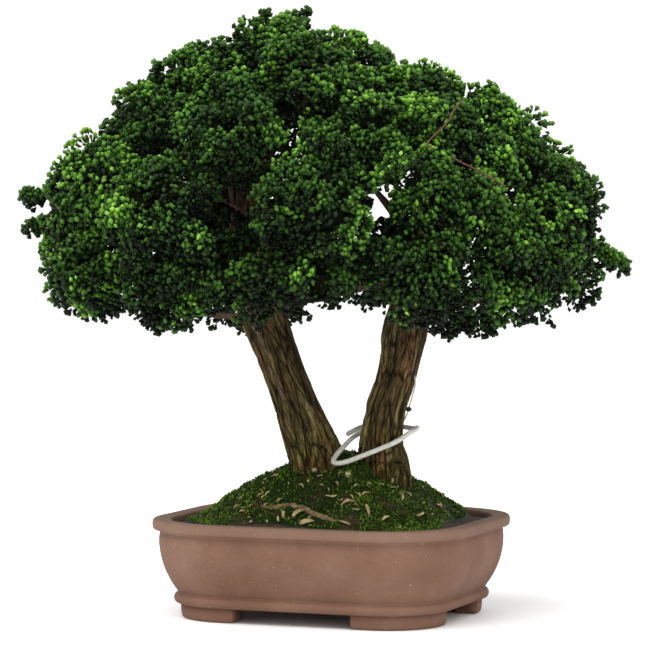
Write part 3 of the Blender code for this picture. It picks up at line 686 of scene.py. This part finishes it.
litterSet = {
    "scattered": 85,
    "seed": 9,
    # (u, w, length, turn in degrees) of the larger flakes
    "large": (
        (-0.029, -0.041, 0.013, 110), (-0.032, -0.077, 0.016, 25), (-0.002, -0.071, 0.012, -20),
        (0.015, -0.081, 0.015, 5), (0.031, -0.072, 0.011, 40), (0.033, -0.094, 0.013, -70),
        (0.084, -0.086, 0.013, 70), (-0.024, -0.096, 0.015, 10), (-0.056, -0.021, 0.009, 150),
        (0.057, -0.031, 0.014, 100), (0.012, -0.108, 0.012, -30), (0.05, -0.102, 0.01, 60),
        (0.103, -0.028, 0.01, 20), (-0.091, -0.049, 0.011, -15), (0.066, -0.06, 0.012, 120),
        (-0.046, -0.072, 0.01, 75),
    ),
    "ring": (0.128, 0.112),  # half sizes of the oval that the others lie in
    "share": (0.1, 0.8),
    "length": (0.003, 0.008),
    "slimness": (0.16, 0.34),  # width by length
    "lift": 0.0042,  # over the mound, onto the moss
    "thick": 0.0006,
    # a bare root: (u, w) along it, its radius and the points along and round it
    "root": (
        (-0.0695, -0.0515), (-0.0595, -0.0576), (-0.0457, -0.059), (-0.0318, -0.0682), (-0.0199, -0.083),
        (-0.0062, -0.0953), (0.0055, -0.1047),
    ),
    "rootRadius": 0.0028,
    "rootLift": 0.0022,
    "rootSteps": 70,
    "rootSides": 18,
    # (u, w, half size) of the stones of grit
    "stones": (
        (0.0155, -0.0427, 0.003), (0.0655, -0.1194, 0.0014), (-0.0172, -0.0264, 0.0032), (0.07, -0.045, 0.0015),
        (-0.08, -0.079, 0.0016), (0.098, -0.071, 0.0014),
    ),
    "stoneLift": 0.004,
}


# thin curled flakes: a strip whose middle lifts as a parabola along and across, with a lower skin below it
def makeFlakes():
    draw = np.random.default_rng(litterSet["seed"])
    count = litterSet["scattered"]
    turn, far = draw.uniform(0, 2 * np.pi, count), np.sqrt(draw.uniform(*litterSet["share"], count))
    ringU, ringW = litterSet["ring"]
    rows = [(ringU * a * math.cos(t), ringW * a * math.sin(t)) for a, t in zip(far, turn)]
    large = np.array(litterSet["large"])
    spot = onGround(rows + large[:, :2].tolist())
    length = np.concatenate([draw.uniform(*litterSet["length"], count), large[:, 2]])
    angle = np.concatenate([draw.uniform(0, 2 * np.pi, count), np.radians(large[:, 3])])
    total = len(length)
    width = length * draw.uniform(*litterSet["slimness"], total)
    ahead = treeU * np.cos(angle)[:, None] + treeW * np.sin(angle)[:, None]
    fall = unit(spot - moundFoot)
    ahead = unit(ahead - fall * np.sum(ahead * fall, 1)[:, None])
    side = np.cross(fall, ahead)
    s, t = np.meshgrid(np.linspace(-1, 1, 7), np.array([-1.0, 0.0, 1.0]), indexing="ij")
    taper = np.sqrt(np.clip(1.08 - s**2, 0, 1))
    curl = draw.uniform(0.1, 0.5, total)[:, None, None]
    twist = draw.normal(0, 0.5, total)[:, None, None]
    bend = draw.normal(0, 0.22, total)[:, None, None]
    along = s[None] * (length / 2)[:, None, None]
    wide = (t * taper)[None] * (width / 2)[:, None, None] + bend * along * s[None]
    lift = curl * length[:, None, None] * (1 - s[None] ** 2) * 0.45 + twist * wide * s[None] + 0.35 * np.abs(wide)
    top = spot[:, None, None] + ahead[:, None, None] * along[..., None] + side[:, None, None] * wide[..., None]
    top = top + fall[:, None, None] * (lift + litterSet["lift"])[..., None]
    low = top - fall[:, None, None] * litterSet["thick"]
    each = s.size  # points in one skin of a flake
    points = np.concatenate([top.reshape(total, each, 3), low.reshape(total, each, 3)], 1).reshape(-1, 3)
    upper = gridFaces(7, 3, wrap=False)
    rim = np.array([0, 1, 2, 5, 8, 11, 14, 17, 20, 19, 18, 15, 12, 9, 6, 3])
    after = np.roll(rim, -1)
    skin = np.vstack([upper, upper[:, ::-1] + each, np.stack([rim, rim + each, after + each, after], 1)])
    faces = (np.arange(total)[:, None, None] * 2 * each + skin[None]).reshape(-1, 4)
    look = plainMaterial("dryFlake", (0.17, 0.115, 0.048), (0.52, 0.42, 0.2), 120.0, 0.8)
    makePiece("dryFlakes", points, [faces], [look])


# a root that shows on the mound's lower left: a tube that thins at its ends, its rings swollen by noise
def makeRoot():
    steps = litterSet["rootSteps"]
    line = curveThrough(onGround(litterSet["root"]) + up * litterSet["rootLift"], steps)
    ends = np.minimum(np.linspace(0.25, 3.4, steps), np.linspace(4, 0.35, steps))
    rings = carriedTube(line, litterSet["rootRadius"] * np.clip(ends, 0, 1) ** 0.7, litterSet["rootSides"])
    ridges = lumpNoise(rings, 0.0026, 71) + 0.6 * lumpNoise(rings, 0.001, 72)
    middle = rings.mean(1, keepdims=True)
    points, faces = closedTube(middle + (rings - middle) * (0.62 + 0.62 * ridges)[..., None])
    bare = plainMaterial("bareRoot", (0.035, 0.02, 0.01), (0.29, 0.195, 0.09), 260.0, 0.85)
    makePiece("bareRoot", points, faces, [bare])


# a few stones of grit: balls a quarter lower than wide, swollen by noise
def makeGrit():
    rows = np.array(litterSet["stones"])
    stones = onGround(rows[:, :2]) + up * litterSet["stoneLift"]
    theta = np.linspace(0.25, np.pi - 0.25, 9)
    theta, phi = np.meshgrid(theta, np.linspace(0, 2 * np.pi, 14, endpoint=False), indexing="ij")
    ball = np.stack([np.sin(theta) * np.cos(phi), np.sin(theta) * np.sin(phi), -np.cos(theta) * 0.75], 2)
    shells = []
    for middle, half in zip(stones, rows[:, 2]):
        lumps = 0.75 + 0.5 * lumpNoise(ball * half + middle, half * 0.9, 73)
        shells.append(closedTube(middle + ball * half * lumps[..., None]))
    look = plainMaterial("paleGrit", (0.2, 0.15, 0.08), (0.43, 0.35, 0.21), 300.0, 0.7)
    makePiece("gritStones", *joined(shells), [look])


# Trunks: stations of (u, w, z, radius) as in the model

trunkSet = {
    "left": (
        (0.004, 0.004, 0.112, 0.033), (-0.008, 0.002, 0.135, 0.0325), (-0.0175, 0.0, 0.158, 0.0262),
        (-0.028, 0.0, 0.186, 0.0218), (-0.042, 0.002, 0.226, 0.019), (-0.056, 0.003, 0.264, 0.0192),
        (-0.0695, 0.005, 0.3, 0.0214), (-0.081, 0.006, 0.34, 0.0195), (-0.084, 0.004, 0.385, 0.016),
        (-0.078, 0.0, 0.435, 0.0125), (-0.066, -0.004, 0.485, 0.009), (-0.056, -0.004, 0.53, 0.006),
    ),
    "right": (
        (0.044, -0.004, 0.108, 0.031), (0.05, -0.008, 0.13, 0.029), (0.0515, -0.01, 0.152, 0.024),
        (0.05, -0.01, 0.176, 0.0195), (0.0545, -0.008, 0.206, 0.0178), (0.063, -0.006, 0.234, 0.017),
        (0.069, -0.004, 0.26, 0.018), (0.0735, -0.002, 0.286, 0.0202), (0.082, 0.002, 0.325, 0.017),
        (0.092, 0.006, 0.37, 0.0135), (0.104, 0.008, 0.415, 0.0105), (0.112, 0.006, 0.46, 0.007),
    ),
    "rings": 160,
    "sides": 100,
    "crownFrom": 0.345,
    "dense": 0.72,  # share of the rings below the crown
    "skin": 0.0012,  # of the bark over the wood
    "stripWidth": 0.005,
    "stripLength": 0.062,
    "depth": 0.0026,
}


# bark relief from 0 in the cracks to 1 on the strips: noise on (way round, way round, length) with long
# cells, folded so that its middle value is a narrow crack, with plates of unlike height and fine fibres
def barkRelief(around, height, radius, seed):
    a = np.broadcast_to(around[None, :], radius.shape)
    z = np.broadcast_to(height[:, None], radius.shape)
    wander = 0.5 * (lumpNoise(np.stack([np.cos(a) * 0.03, np.sin(a) * 0.03, z], 2), 0.03, seed + 5) - 0.5)
    strip = trunkSet["stripWidth"]
    ring = np.stack([np.cos(a + wander) * radius, np.sin(a + wander) * radius, z * strip / trunkSet["stripLength"]], 2)
    coarse = lumpNoise(ring, strip, seed)
    middle = lumpNoise(ring * np.array([1, 1, 1.7]), strip * 0.5, seed + 1)
    fine = lumpNoise(ring * np.array([1, 1, 0.8]), strip * 0.24, seed + 2)
    crack = np.clip(np.abs(coarse - 0.5) * 11, 0, 1) ** 0.7
    small = np.clip(np.abs(middle - 0.5) * 7, 0, 1)
    plate = np.clip((coarse - 0.5) * 1.6 + 0.55, 0.2, 1)
    return crack * (0.45 + 0.55 * small) * (0.35 + 0.65 * plate) * (0.72 + 0.42 * fine)


# a trunk's bark: rings round its curve, their radius fluted by sines of the angle and height, plus the
# relief; rings stand closer below the crown
def makeTrunk(name, stations, seed):
    rows = curveThrough(stations, 400)
    dense, crownFrom = int(trunkSet["rings"] * trunkSet["dense"]), trunkSet["crownFrom"]
    inCrown = np.linspace(crownFrom, rows[-1, 2], trunkSet["rings"] - dense + 1)[1:]
    z = np.concatenate([np.linspace(rows[0, 2], crownFrom, dense), inCrown])
    rows = np.stack([np.interp(z, rows[:, 2], rows[:, k]) for k in range(4)], 1)
    line = placed(rows[:, :3])
    around = np.linspace(0, 2 * np.pi, trunkSet["sides"], endpoint=False)
    low = np.clip((0.19 - rows[:, 2]) / 0.06, 0, 1)[:, None]
    flutes = (0.05 + 0.1 * low) * np.sin(5 * around + 9 * rows[:, 2:3] + seed)
    flutes = flutes + 0.035 * np.sin(3 * around - 14 * rows[:, 2:3] + 2)
    radius = rows[:, 3:4] * (1 + 0.6 * flutes)
    relief = barkRelief(around, rows[:, 2], radius, seed)
    turn = np.broadcast_to(around[None], radius.shape)
    along = np.broadcast_to(rows[:, 2:3] + 0.01 * seed, radius.shape)
    place = np.stack([np.cos(turn) * radius, np.sin(turn) * radius, along], 2).reshape(-1, 3)
    place = np.vstack([place, place[:1], place[-1:]])
    radius = radius + trunkSet["skin"] + trunkSet["depth"] * (relief - 0.35)
    radius = np.maximum(radius, rows[:, 3:4] * 0.94)
    points, faces = closedTube(tubePoints(line, radius, trunkSet["sides"]))
    relief = np.concatenate([relief.ravel(), [0, 0]])
    damp = np.clip((0.235 - points[:, 2]) / 0.09, 0, 1) * (0.35 + lumpNoise(points, 0.018, seed + 8))
    trunk = makePiece(name, points, faces, [barkLook], {"relief": relief, "damp": damp, "barkPlace": place})


# a node of the model that keeps its own mesh and gets one material
def wearOnly(name, look):
    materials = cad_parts[name].data.materials
    materials.clear()
    materials.append(look)


barkLook = barkMaterial()
for side, seed in (("left", 31), ("right", 47)):
    makeTrunk(f"{side}TrunkBark", trunkSet[side], seed)
wearOnly("wood", plainMaterial("twigBark", (0.03, 0.019, 0.012), (0.115, 0.075, 0.048), 240.0, 0.85))
print("trunks made")

# Training wire, along the route of its solid

wireSet = {
    "radius": 0.0025,
    "cutEnds": 0.72,  # the radius at its cut ends
    "sides": 16,
    "steps": 260,
    "route": (
        (0.0145, 0.009, 0.1795), (0.03, 0.0185, 0.1862), (0.05, 0.0222, 0.1892), (0.0675, 0.017, 0.1872),
        (0.08, 0.004, 0.186), (0.085, -0.011, 0.1876), (0.083, -0.0222, 0.1868), (0.0755, -0.03, 0.183),
        (0.064, -0.036, 0.176), (0.048, -0.0385, 0.169), (0.03, -0.04, 0.162), (0.016, -0.038, 0.1565),
        (0.006, -0.034, 0.154), (0.001, -0.03, 0.1555), (0.004, -0.024, 0.1615), (0.0115, -0.013, 0.169),
        (0.021, 0.003, 0.177), (0.033, 0.0125, 0.1825), (0.047, 0.0109, 0.184),
    ),
}


# the wire: a tube of one radius along its route, drawn in at its cut ends
def makeWire():
    line = curveThrough(placed(wireSet["route"]), wireSet["steps"])
    radius = np.full(len(line), wireSet["radius"])
    radius[[0, -1]] *= wireSet["cutEnds"]
    points, faces = closedTube(carriedTube(line, radius, wireSet["sides"]))
    looks = plainMaterial("paleWire", (0.4, 0.385, 0.33), (0.66, 0.645, 0.57), 160.0, 0.42, 0.0002)
    wire = makePiece("paleWire", points, faces, [looks])
    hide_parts("training_wire")


threadSet = {
    "radius": 0.0008,
    "route": (
        (0.08, -0.0095, 0.244), (0.0826, -0.009, 0.236), (0.0822, -0.009, 0.228), (0.079, -0.009, 0.216),
        (0.0765, -0.0092, 0.208), (0.0738, -0.0095, 0.199), (0.0705, -0.01, 0.194),
    ),
    "steps": 80,
    "sides": 8,
    "bead": (0.0762, -0.0092, 0.206),
    "beadHalf": 0.003,
}


# a limp thread tied round the trunk's right edge, with a small bead: rings as wide as a flattened sine
def makeThread():
    steps, sides, half = threadSet["steps"], threadSet["sides"], threadSet["beadHalf"]
    line = curveThrough(placed(threadSet["route"]), steps)
    points, faces = closedTube(carriedTube(line, np.full(steps, threadSet["radius"]), sides))
    look = plainMaterial("paleThread", (0.4, 0.37, 0.26), (0.62, 0.58, 0.42), 400.0, 0.8)
    makePiece("paleThread", points, faces, [look])
    down = np.linspace(0, np.pi, 9)
    a = np.linspace(0, 2 * np.pi, sides, endpoint=False)[:, None]
    circle = treeU * np.cos(a) + treeW * np.sin(a)
    rings = placed(threadSet["bead"]) + circle[None] * (np.sin(down) ** 1.4 * half + 0.0003)[:, None, None]
    rings = rings - up * (np.cos(down) * half * 0.85)[:, None, None]
    points, faces = closedTube(rings)
    look = plainMaterial("blackBead", (0.006, 0.006, 0.006), (0.014, 0.014, 0.014), 200.0, 0.35)
    makePiece("blackBead", points, faces, [look])


makeWire()
makeThread()
print("wire and thread made")

makeSoil()
makeMoss()
makeFlakes()
makeRoot()
makeGrit()
print("soil, moss and litter made")

# Foliage: fans of blunt knobs over the form of each foliage solid

leafSet = {
    "cell": 0.0268,  # spacing of the tufts
    "lump": 0.047,  # size of the lumps that the tufts make together
    "swell": 0.056,  # how far a lump's top stands over its foot
    "hollow": 0.16,  # the lowest share of a lump that still bears tufts
    "facing": -0.18,  # tufts turned further than this towards the crown's middle are never seen, and left out
    # (u, lowest z) of the crown's ragged underside, which falls by a share of w towards the front
    "underside": (
        (-0.31, 0.362), (-0.287, 0.345), (-0.265, 0.312), (-0.25, 0.3), (-0.18, 0.282), (-0.157, 0.276),
        (-0.117, 0.293), (-0.092, 0.292), (-0.04, 0.309), (0.043, 0.307), (0.09, 0.28), (0.172, 0.283),
        (0.19, 0.29), (0.224, 0.316), (0.261, 0.322), (0.287, 0.342), (0.31, 0.352),
    ),
    "undersideTilt": 0.1,
    "density": 90000,  # places tried on a square metre before they are thinned
    "clear": 0.026,  # no tuft nearer than this to a pad's middle
    "back": 0.008,  # how far a pad's middle is moved towards the crown's
    "fans": 6,  # in each tuft
    "reach": (0.0175, 0.027),  # from a tuft's root to its tips
    "sink": 0.0165,  # of a tuft's root under the surface
    "rows": ((0.76, 3, 0.7), (1.0, 5, 1.0)),  # share of reach, knobs, share of the spread
    "spread": 36,  # degrees to each side of a fan
    "opening": 62,  # degrees from a tuft's axis to its outermost fans
    "knobLength": 0.0074,
    "knobWidth": 0.0064,
    "ringAt": 0.74,
    "flatShare": 0.62,  # a knob's thickness against its width
    # the dark core stands for the shade inside a pad: painted shade
    "coreShare": 0.5,  # size of the dark core inside a pad
    "coreLift": 0.004,
    "seed": 77,
}
crownMiddle = placed([(-0.009, 0.0, 0.34)])[0]
crownSize = np.array([0.29, 0.26, 0.27])
goldenAngle = 2.39996


# a node's own points and triangles, read and not changed
def nodeTriangles(node):
    mesh = node.data
    points = np.zeros(len(mesh.vertices) * 3, np.float32)
    mesh.vertices.foreach_get("co", points)
    mesh.calc_loop_triangles()
    corners = np.zeros(len(mesh.loop_triangles) * 3, np.int32)
    mesh.loop_triangles.foreach_get("vertices", corners)
    return points.reshape(-1, 3).astype(float), corners.reshape(-1, 3)


# random places on triangles by area, thinned to one in each cell of a lattice; also their face normals
def spreadOver(points, corners, draw, cell, density):
    a, b, c = (points[corners[:, k]] for k in range(3))
    normal = np.cross(b - a, c - a)
    area = np.linalg.norm(normal, axis=1) / 2
    count = int(area.sum() * density)
    pick = draw.choice(len(area), count, p=area / area.sum())
    s, t = draw.random(count), draw.random(count)
    flip = s + t > 1
    s, t = np.where(flip, 1 - s, s), np.where(flip, 1 - t, t)
    spot = a[pick] + (b - a)[pick] * s[:, None] + (c - a)[pick] * t[:, None]
    key = np.floor(spot / cell).astype(np.int64)
    _, first = np.unique(key, axis=0, return_index=True)
    return spot[first], unit(normal[pick[first]])


# the fans' axes in a tuft: a golden-angle spiral that opens from the tuft's own axis
def fanAxes(axis, draw):
    fans = leafSet["fans"]
    helper = unit(np.cross(axis, draw.normal(0, 1, axis.shape)))
    other = np.cross(axis, helper)
    k = np.arange(fans)
    tilt = np.radians(8 + leafSet["opening"] * np.sqrt(k / (fans - 1)))[None]
    tilt = tilt + draw.normal(0, 0.1, (len(axis), fans))
    turn = (k * goldenAngle)[None] + draw.normal(0, 0.25, (len(axis), fans))
    outwards = helper[:, None] * np.cos(turn)[..., None] + other[:, None] * np.sin(turn)[..., None]
    return (axis[:, None] * np.cos(tilt)[..., None] + outwards * np.sin(tilt)[..., None]).reshape(-1, 3)


# one fan for each root: rows of knobs spread to both sides of its axis, cupped a little
def fanKnobs(roots, axes, spreads, reaches, draw):
    thick = np.cross(axes, spreads)
    places, directions, sizes, owners, shares, plates = [], [], [], [], [], []
    for share, count, wide in leafSet["rows"]:
        for k in range(count):
            a = np.radians(leafSet["spread"] * wide * (2 * (k + 0.5) / count - 1))
            a = a + draw.normal(0, 0.07, len(roots))
            line = axes * np.cos(a)[:, None] + spreads * np.sin(a)[:, None]
            out = reaches * share * (1 - 0.18 * np.abs(a)) * draw.uniform(0.9, 1.08, len(roots))
            cup = (a**2 * 0.3 - 0.06) * reaches + draw.normal(0, 0.0014, len(roots))
            places.append(roots + line * (out - leafSet["knobLength"] * 0.8)[:, None] + thick * cup[:, None])
            plates.append(thick + draw.normal(0, 0.3, roots.shape))
            lean = thick * draw.normal(0, 0.36, len(roots))[:, None]
            directions.append(line + lean + draw.normal(0, 0.16, roots.shape))
            sizes.append(draw.uniform(0.68, 1.28, len(roots)))
            owners.append(np.arange(len(roots)))
            shares.append(np.full(len(roots), share))
    return [np.concatenate(part) for part in (places, directions, sizes, owners, shares, plates)]


# tufts at their roots: fans of knobs, with a tone for each point, lighter at the tips and on young tufts;
# lighter on a tuft's crest, on the lumps' tops and on knobs that point up, and darker deep in the crown, in the lumps'
# hollows and at a tuft's foot, which is painted light and shade
def tuftPoints(root, axis, size, lump, draw):
    fans = leafSet["fans"]
    axes = fanAxes(axis, draw)
    spreads = unit(np.cross(axes, draw.normal(0, 1, axes.shape)))
    reaches = np.repeat(size, fans) * draw.uniform(0.86, 1.06, len(axes))
    fanRoots = np.repeat(root, fans, 0)
    places, directions, sizes, owner, row, plates = fanKnobs(fanRoots, axes, spreads, reaches, draw)
    owner = owner // fans
    scale = np.minimum(1, size[owner] / leafSet["reach"][0]) ** 0.5
    long, wide = leafSet["knobLength"] * sizes * scale, leafSet["knobWidth"] * sizes * scale
    knob, faces, share = knobs(places, directions, long, wide, leafSet["ringAt"], plates, leafSet["flatShare"])
    # darker deep in the crown: painted shade
    radial = np.linalg.norm((places - crownMiddle) / crownSize, axis=1)
    depth = np.clip((radial - 0.45) / 0.4, 0.15, 1)
    young = 0.5 * draw.random(len(root))[owner] ** 1.5 + 0.44 * lumpNoise(places, 0.045, 61)
    # lighter on the lumps' tops and darker in their hollows: painted light and shade
    paintedLumpLight = np.clip((lump[owner] - 0.26) / 0.32, 0.06, 1.15)
    # lighter on a tuft's crest and darker at its foot: painted light and shade
    paintedCrestLight = np.clip(np.sum((places - root[owner]) * axis[owner], 1) / size[owner], 0, 1.1)
    tone = (0.07 + 1.06 * young * depth * paintedLumpLight) * (0.12 + 0.98 * paintedCrestLight**1.5)
    # knobs that point up are lighter: painted light from above; a fan's outer row is a little lighter too
    tone = tone + 0.11 * unit(directions)[:, 2] * depth
    tone = tone + draw.uniform(-0.06, 0.1, len(places)) + 0.06 * (row - 0.8)
    each = len(knob) // len(places)  # points in a knob
    return knob, faces, np.maximum(np.repeat(tone, each) * (0.3 + 0.91 * share), 0)


# a pad: tufts on its solid's surface, sunk where two sizes of lump noise are low and raised where they are
# high, round the solid's own form shrunk to a dark core, which is painted shade inside the pad. Returns the number of
# triangles
def makeFoliage(name, index, looks):
    draw = np.random.default_rng(leafSet["seed"] + index)
    points, corners = nodeTriangles(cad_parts[name])
    middle = points.mean(0)
    away = unit(middle - crownMiddle)
    middle = middle - away * leafSet["back"]
    spot, normal = spreadOver(points, corners, draw, leafSet["cell"], leafSet["density"])
    outward = unit(spot - middle)
    lump = lumpNoise(spot, leafSet["lump"], 91) * 0.55 + lumpNoise(spot, leafSet["lump"] * 0.45, 92) * 0.45
    flat = spot - potMiddle
    low = np.interp(flat @ treeU, *zip(*leafSet["underside"])) - leafSet["undersideTilt"] * (flat @ treeW)
    keep = np.linalg.norm(spot - middle, axis=1) > leafSet["clear"]
    keep &= (lump > leafSet["hollow"]) & (spot[:, 2] > low) & (outward @ away > leafSet["facing"])
    spot, normal, outward, lump = spot[keep], normal[keep], outward[keep], lump[keep]
    axis = unit(outward * 0.9 + normal * 0.35 + away * 0.3 + up * 0.25 + draw.normal(0, 0.15, spot.shape))
    size = draw.uniform(*leafSet["reach"], len(spot))
    sink = leafSet["sink"] - leafSet["swell"] * (np.minimum(lump, 0.74) - 0.6)
    sink = sink + draw.normal(0.001, 0.0056, len(spot))
    root = spot - axis * sink[:, None]
    knob, faces, tone = tuftPoints(root, axis, size, lump, draw)
    # the dark core: painted shade inside the pad
    core = middle + (points - middle) * leafSet["coreShare"] + up * leafSet["coreLift"]
    values = np.concatenate([np.zeros(len(core)), tone])
    slots = np.concatenate([np.ones(len(corners), int), np.zeros(len(faces), int)])
    blocks = [corners, faces + len(core)]
    piece = makePiece(f"spray{name[-3:]}", np.vstack([core, knob]), blocks, looks, {"tone": values}, slots)
    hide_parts(name)
    return len(slots)


sprigSet = {
    "seed": 5,
    # where its twig starts, first tuft, last tuft as (u, w, z), tufts, size of a tuft
    "rows": (
        ((-0.22, 0.0, 0.4), (-0.254, -0.02, 0.412), (-0.303, -0.02, 0.422), 8, 0.0155),
        ((-0.22, 0.0, 0.39), (-0.252, 0.0, 0.388), (-0.298, 0.0, 0.389), 7, 0.016),
        ((-0.15, -0.01, 0.48), (-0.182, -0.02, 0.524), (-0.17, -0.03, 0.545), 4, 0.0125),
        ((0.12, -0.01, 0.47), (0.144, -0.02, 0.508), (0.159, -0.02, 0.524), 4, 0.013),
        ((0.22, 0.0, 0.37), (0.248, -0.01, 0.372), (0.29, 0.0, 0.35), 8, 0.0185),
        ((0.08, -0.03, 0.32), (0.098, -0.07, 0.298), (0.15, -0.06, 0.294), 6, 0.02),
        ((0.085, -0.01, 0.32), (0.106, -0.02, 0.292), (0.158, 0.0, 0.296), 5, 0.02),
        ((-0.07, 0.0, 0.55), (-0.072, -0.01, 0.586), (-0.067, -0.01, 0.6), 3, 0.012),
        ((-0.04, 0.0, 0.55), (-0.034, 0.0, 0.586), (-0.027, 0.0, 0.6), 3, 0.012),
        ((0.04, 0.0, 0.51), (0.045, -0.01, 0.536), (0.051, -0.01, 0.554), 3, 0.013),
        ((-0.082, -0.005, 0.42), (-0.128, -0.105, 0.462), (-0.07, -0.118, 0.47), 5, 0.023),
        ((-0.084, -0.005, 0.4), (-0.122, -0.095, 0.428), (-0.066, -0.105, 0.432), 5, 0.023),
        ((-0.084, -0.005, 0.37), (-0.118, -0.085, 0.396), (-0.08, -0.088, 0.392), 3, 0.022),
    ),
    # bare twigs: (u, w, z) along each
    "twigs": (
        (
            (0.126, -0.12, 0.512), (0.118, -0.165, 0.505), (0.106, -0.197, 0.487), (0.089, -0.214, 0.47),
            (0.095, -0.215, 0.465),
        ),
        (
            (0.112, -0.19, 0.458), (0.119, -0.214, 0.453), (0.137, -0.211, 0.444), (0.16, -0.205, 0.431),
            (0.164, -0.18, 0.43),
        ),
    ),
    "sprigRadius": 0.002,
    "twigRadius": 0.0009,
    "tipRadius": 0.0007,
    "steps": 40,
    "sides": 8,
    "crook": 0.0012,  # how far twigs stray from their curve
}


# sprigs that stand out of the crown's outline, tufts in a row on a thin twig, and two bare twigs on its
# front: tubes that thin to their tips along curves that stray by noise
def makeSprigs(looks):
    draw = np.random.default_rng(sprigSet["seed"])
    root, size, routes = [], [], []
    for base, first, last, count, reachOut in sprigSet["rows"]:
        line = placed(np.linspace(first, last, count) + draw.normal(0, 0.002, (count, 3)))
        routes.append((np.vstack([placed([base]), line]), sprigSet["sprigRadius"]))
        root.append(line)
        size.append(np.linspace(1.0, 0.85, count) * reachOut)
    root, size = np.vstack(root), np.concatenate(size)
    axis = unit(unit(root - crownMiddle) + up * 0.4 + draw.normal(0, 0.2, root.shape))
    # every sprig's tufts get the painted light of a lump's top
    knob, faces, tone = tuftPoints(root - axis * 0.004, axis, size, np.full(len(root), 0.56), draw)
    makePiece("outerSprigs", knob, [faces], looks[:1], {"tone": tone})
    routes += [(placed(route), sprigSet["twigRadius"]) for route in sprigSet["twigs"]]
    shells, steps = [], sprigSet["steps"]
    for route, thick in routes:
        line = curveThrough(route, steps)
        stray = np.stack([lumpNoise(line, 0.006, seed) for seed in (81, 82, 83)], 1) - 0.5
        line = line + sprigSet["crook"] * stray
        radius = np.linspace(thick, sprigSet["tipRadius"], steps)
        shells.append(closedTube(carriedTube(line, radius, sprigSet["sides"])))
    look = plainMaterial("bareTwig", (0.03, 0.009, 0.005), (0.095, 0.03, 0.014), 300.0, 0.7)
    makePiece("bareTwigs", *joined(shells), [look])


leafLook = leafMaterial("scaleLeaf", (
    (0.0, (0.0025, 0.005, 0.002)), (0.12, (0.008, 0.021, 0.004)), (0.28, (0.028, 0.08, 0.009)),
    (0.46, (0.072, 0.18, 0.018)), (0.68, (0.16, 0.345, 0.038)), (0.92, (0.31, 0.56, 0.075)),
))
# the core's near-black colour is painted shade inside the crown
innerLook, *innerParts = newMaterial("innerShade", 1.0, 0.0)
setLook(*innerParts, (0.006, 0.007, 0.004, 1))
padNames = sorted(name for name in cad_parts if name.startswith("foliage_"))
leafTriangles = sum(makeFoliage(name, k, [leafLook, innerLook]) for k, name in enumerate(padNames))
makeSprigs([leafLook])
print("foliage made with", leafTriangles, "triangles")

# Stage: a pale floor and soft light

stageSet = {
    "floor": 60.0,
    "sky": 1.05,
    # name, place, size and power of each soft light
    "lights": (("keyLight", (-0.4, -0.8, 2.9), 3.2, 130.0), ("fillLight", (2.0, -1.4, 1.1), 1.8, 14.0)),
    "aim": (0, 0, 0.3),
}


# a pale floor, a white sky and two soft lights that face the tree
def makeStage():
    bpy.ops.mesh.primitive_plane_add(size=stageSet["floor"])
    floor = bpy.context.object
    floor.name = "paleFloor"
    material, tree, shader = newMaterial("paleFloor", 0.9, 0.1)
    setLook(tree, shader, (0.98, 0.98, 0.98, 1))
    floor.data.materials.append(material)
    world = bpy.data.worlds.new("paleStudio")
    world.use_nodes = True
    sky = {"Color": (1, 1, 1, 1), "Strength": stageSet["sky"]}
    filled(world.node_tree, world.node_tree.nodes["Background"], sky)
    bpy.context.scene.world = world
    for name, place, size, power in stageSet["lights"]:
        data = bpy.data.lights.new(name, "AREA")
        data.size, data.energy = size, power
        light = bpy.data.objects.new(name, data)
        light.location = place
        light.rotation_euler = (Vector(place) - Vector(stageSet["aim"])).to_track_quat("Z", "Y").to_euler()
        bpy.context.scene.collection.objects.link(light)
    bpy.context.scene.view_settings.view_transform = "Standard"


makeStage()
print("stage set")

screenLook = plainMaterial("screenPlastic", (0.01, 0.01, 0.01), (0.03, 0.03, 0.03), 300.0, 0.6)
for name in ("drain_screen_left", "drain_screen_right"):
    wearOnly(name, screenLook)
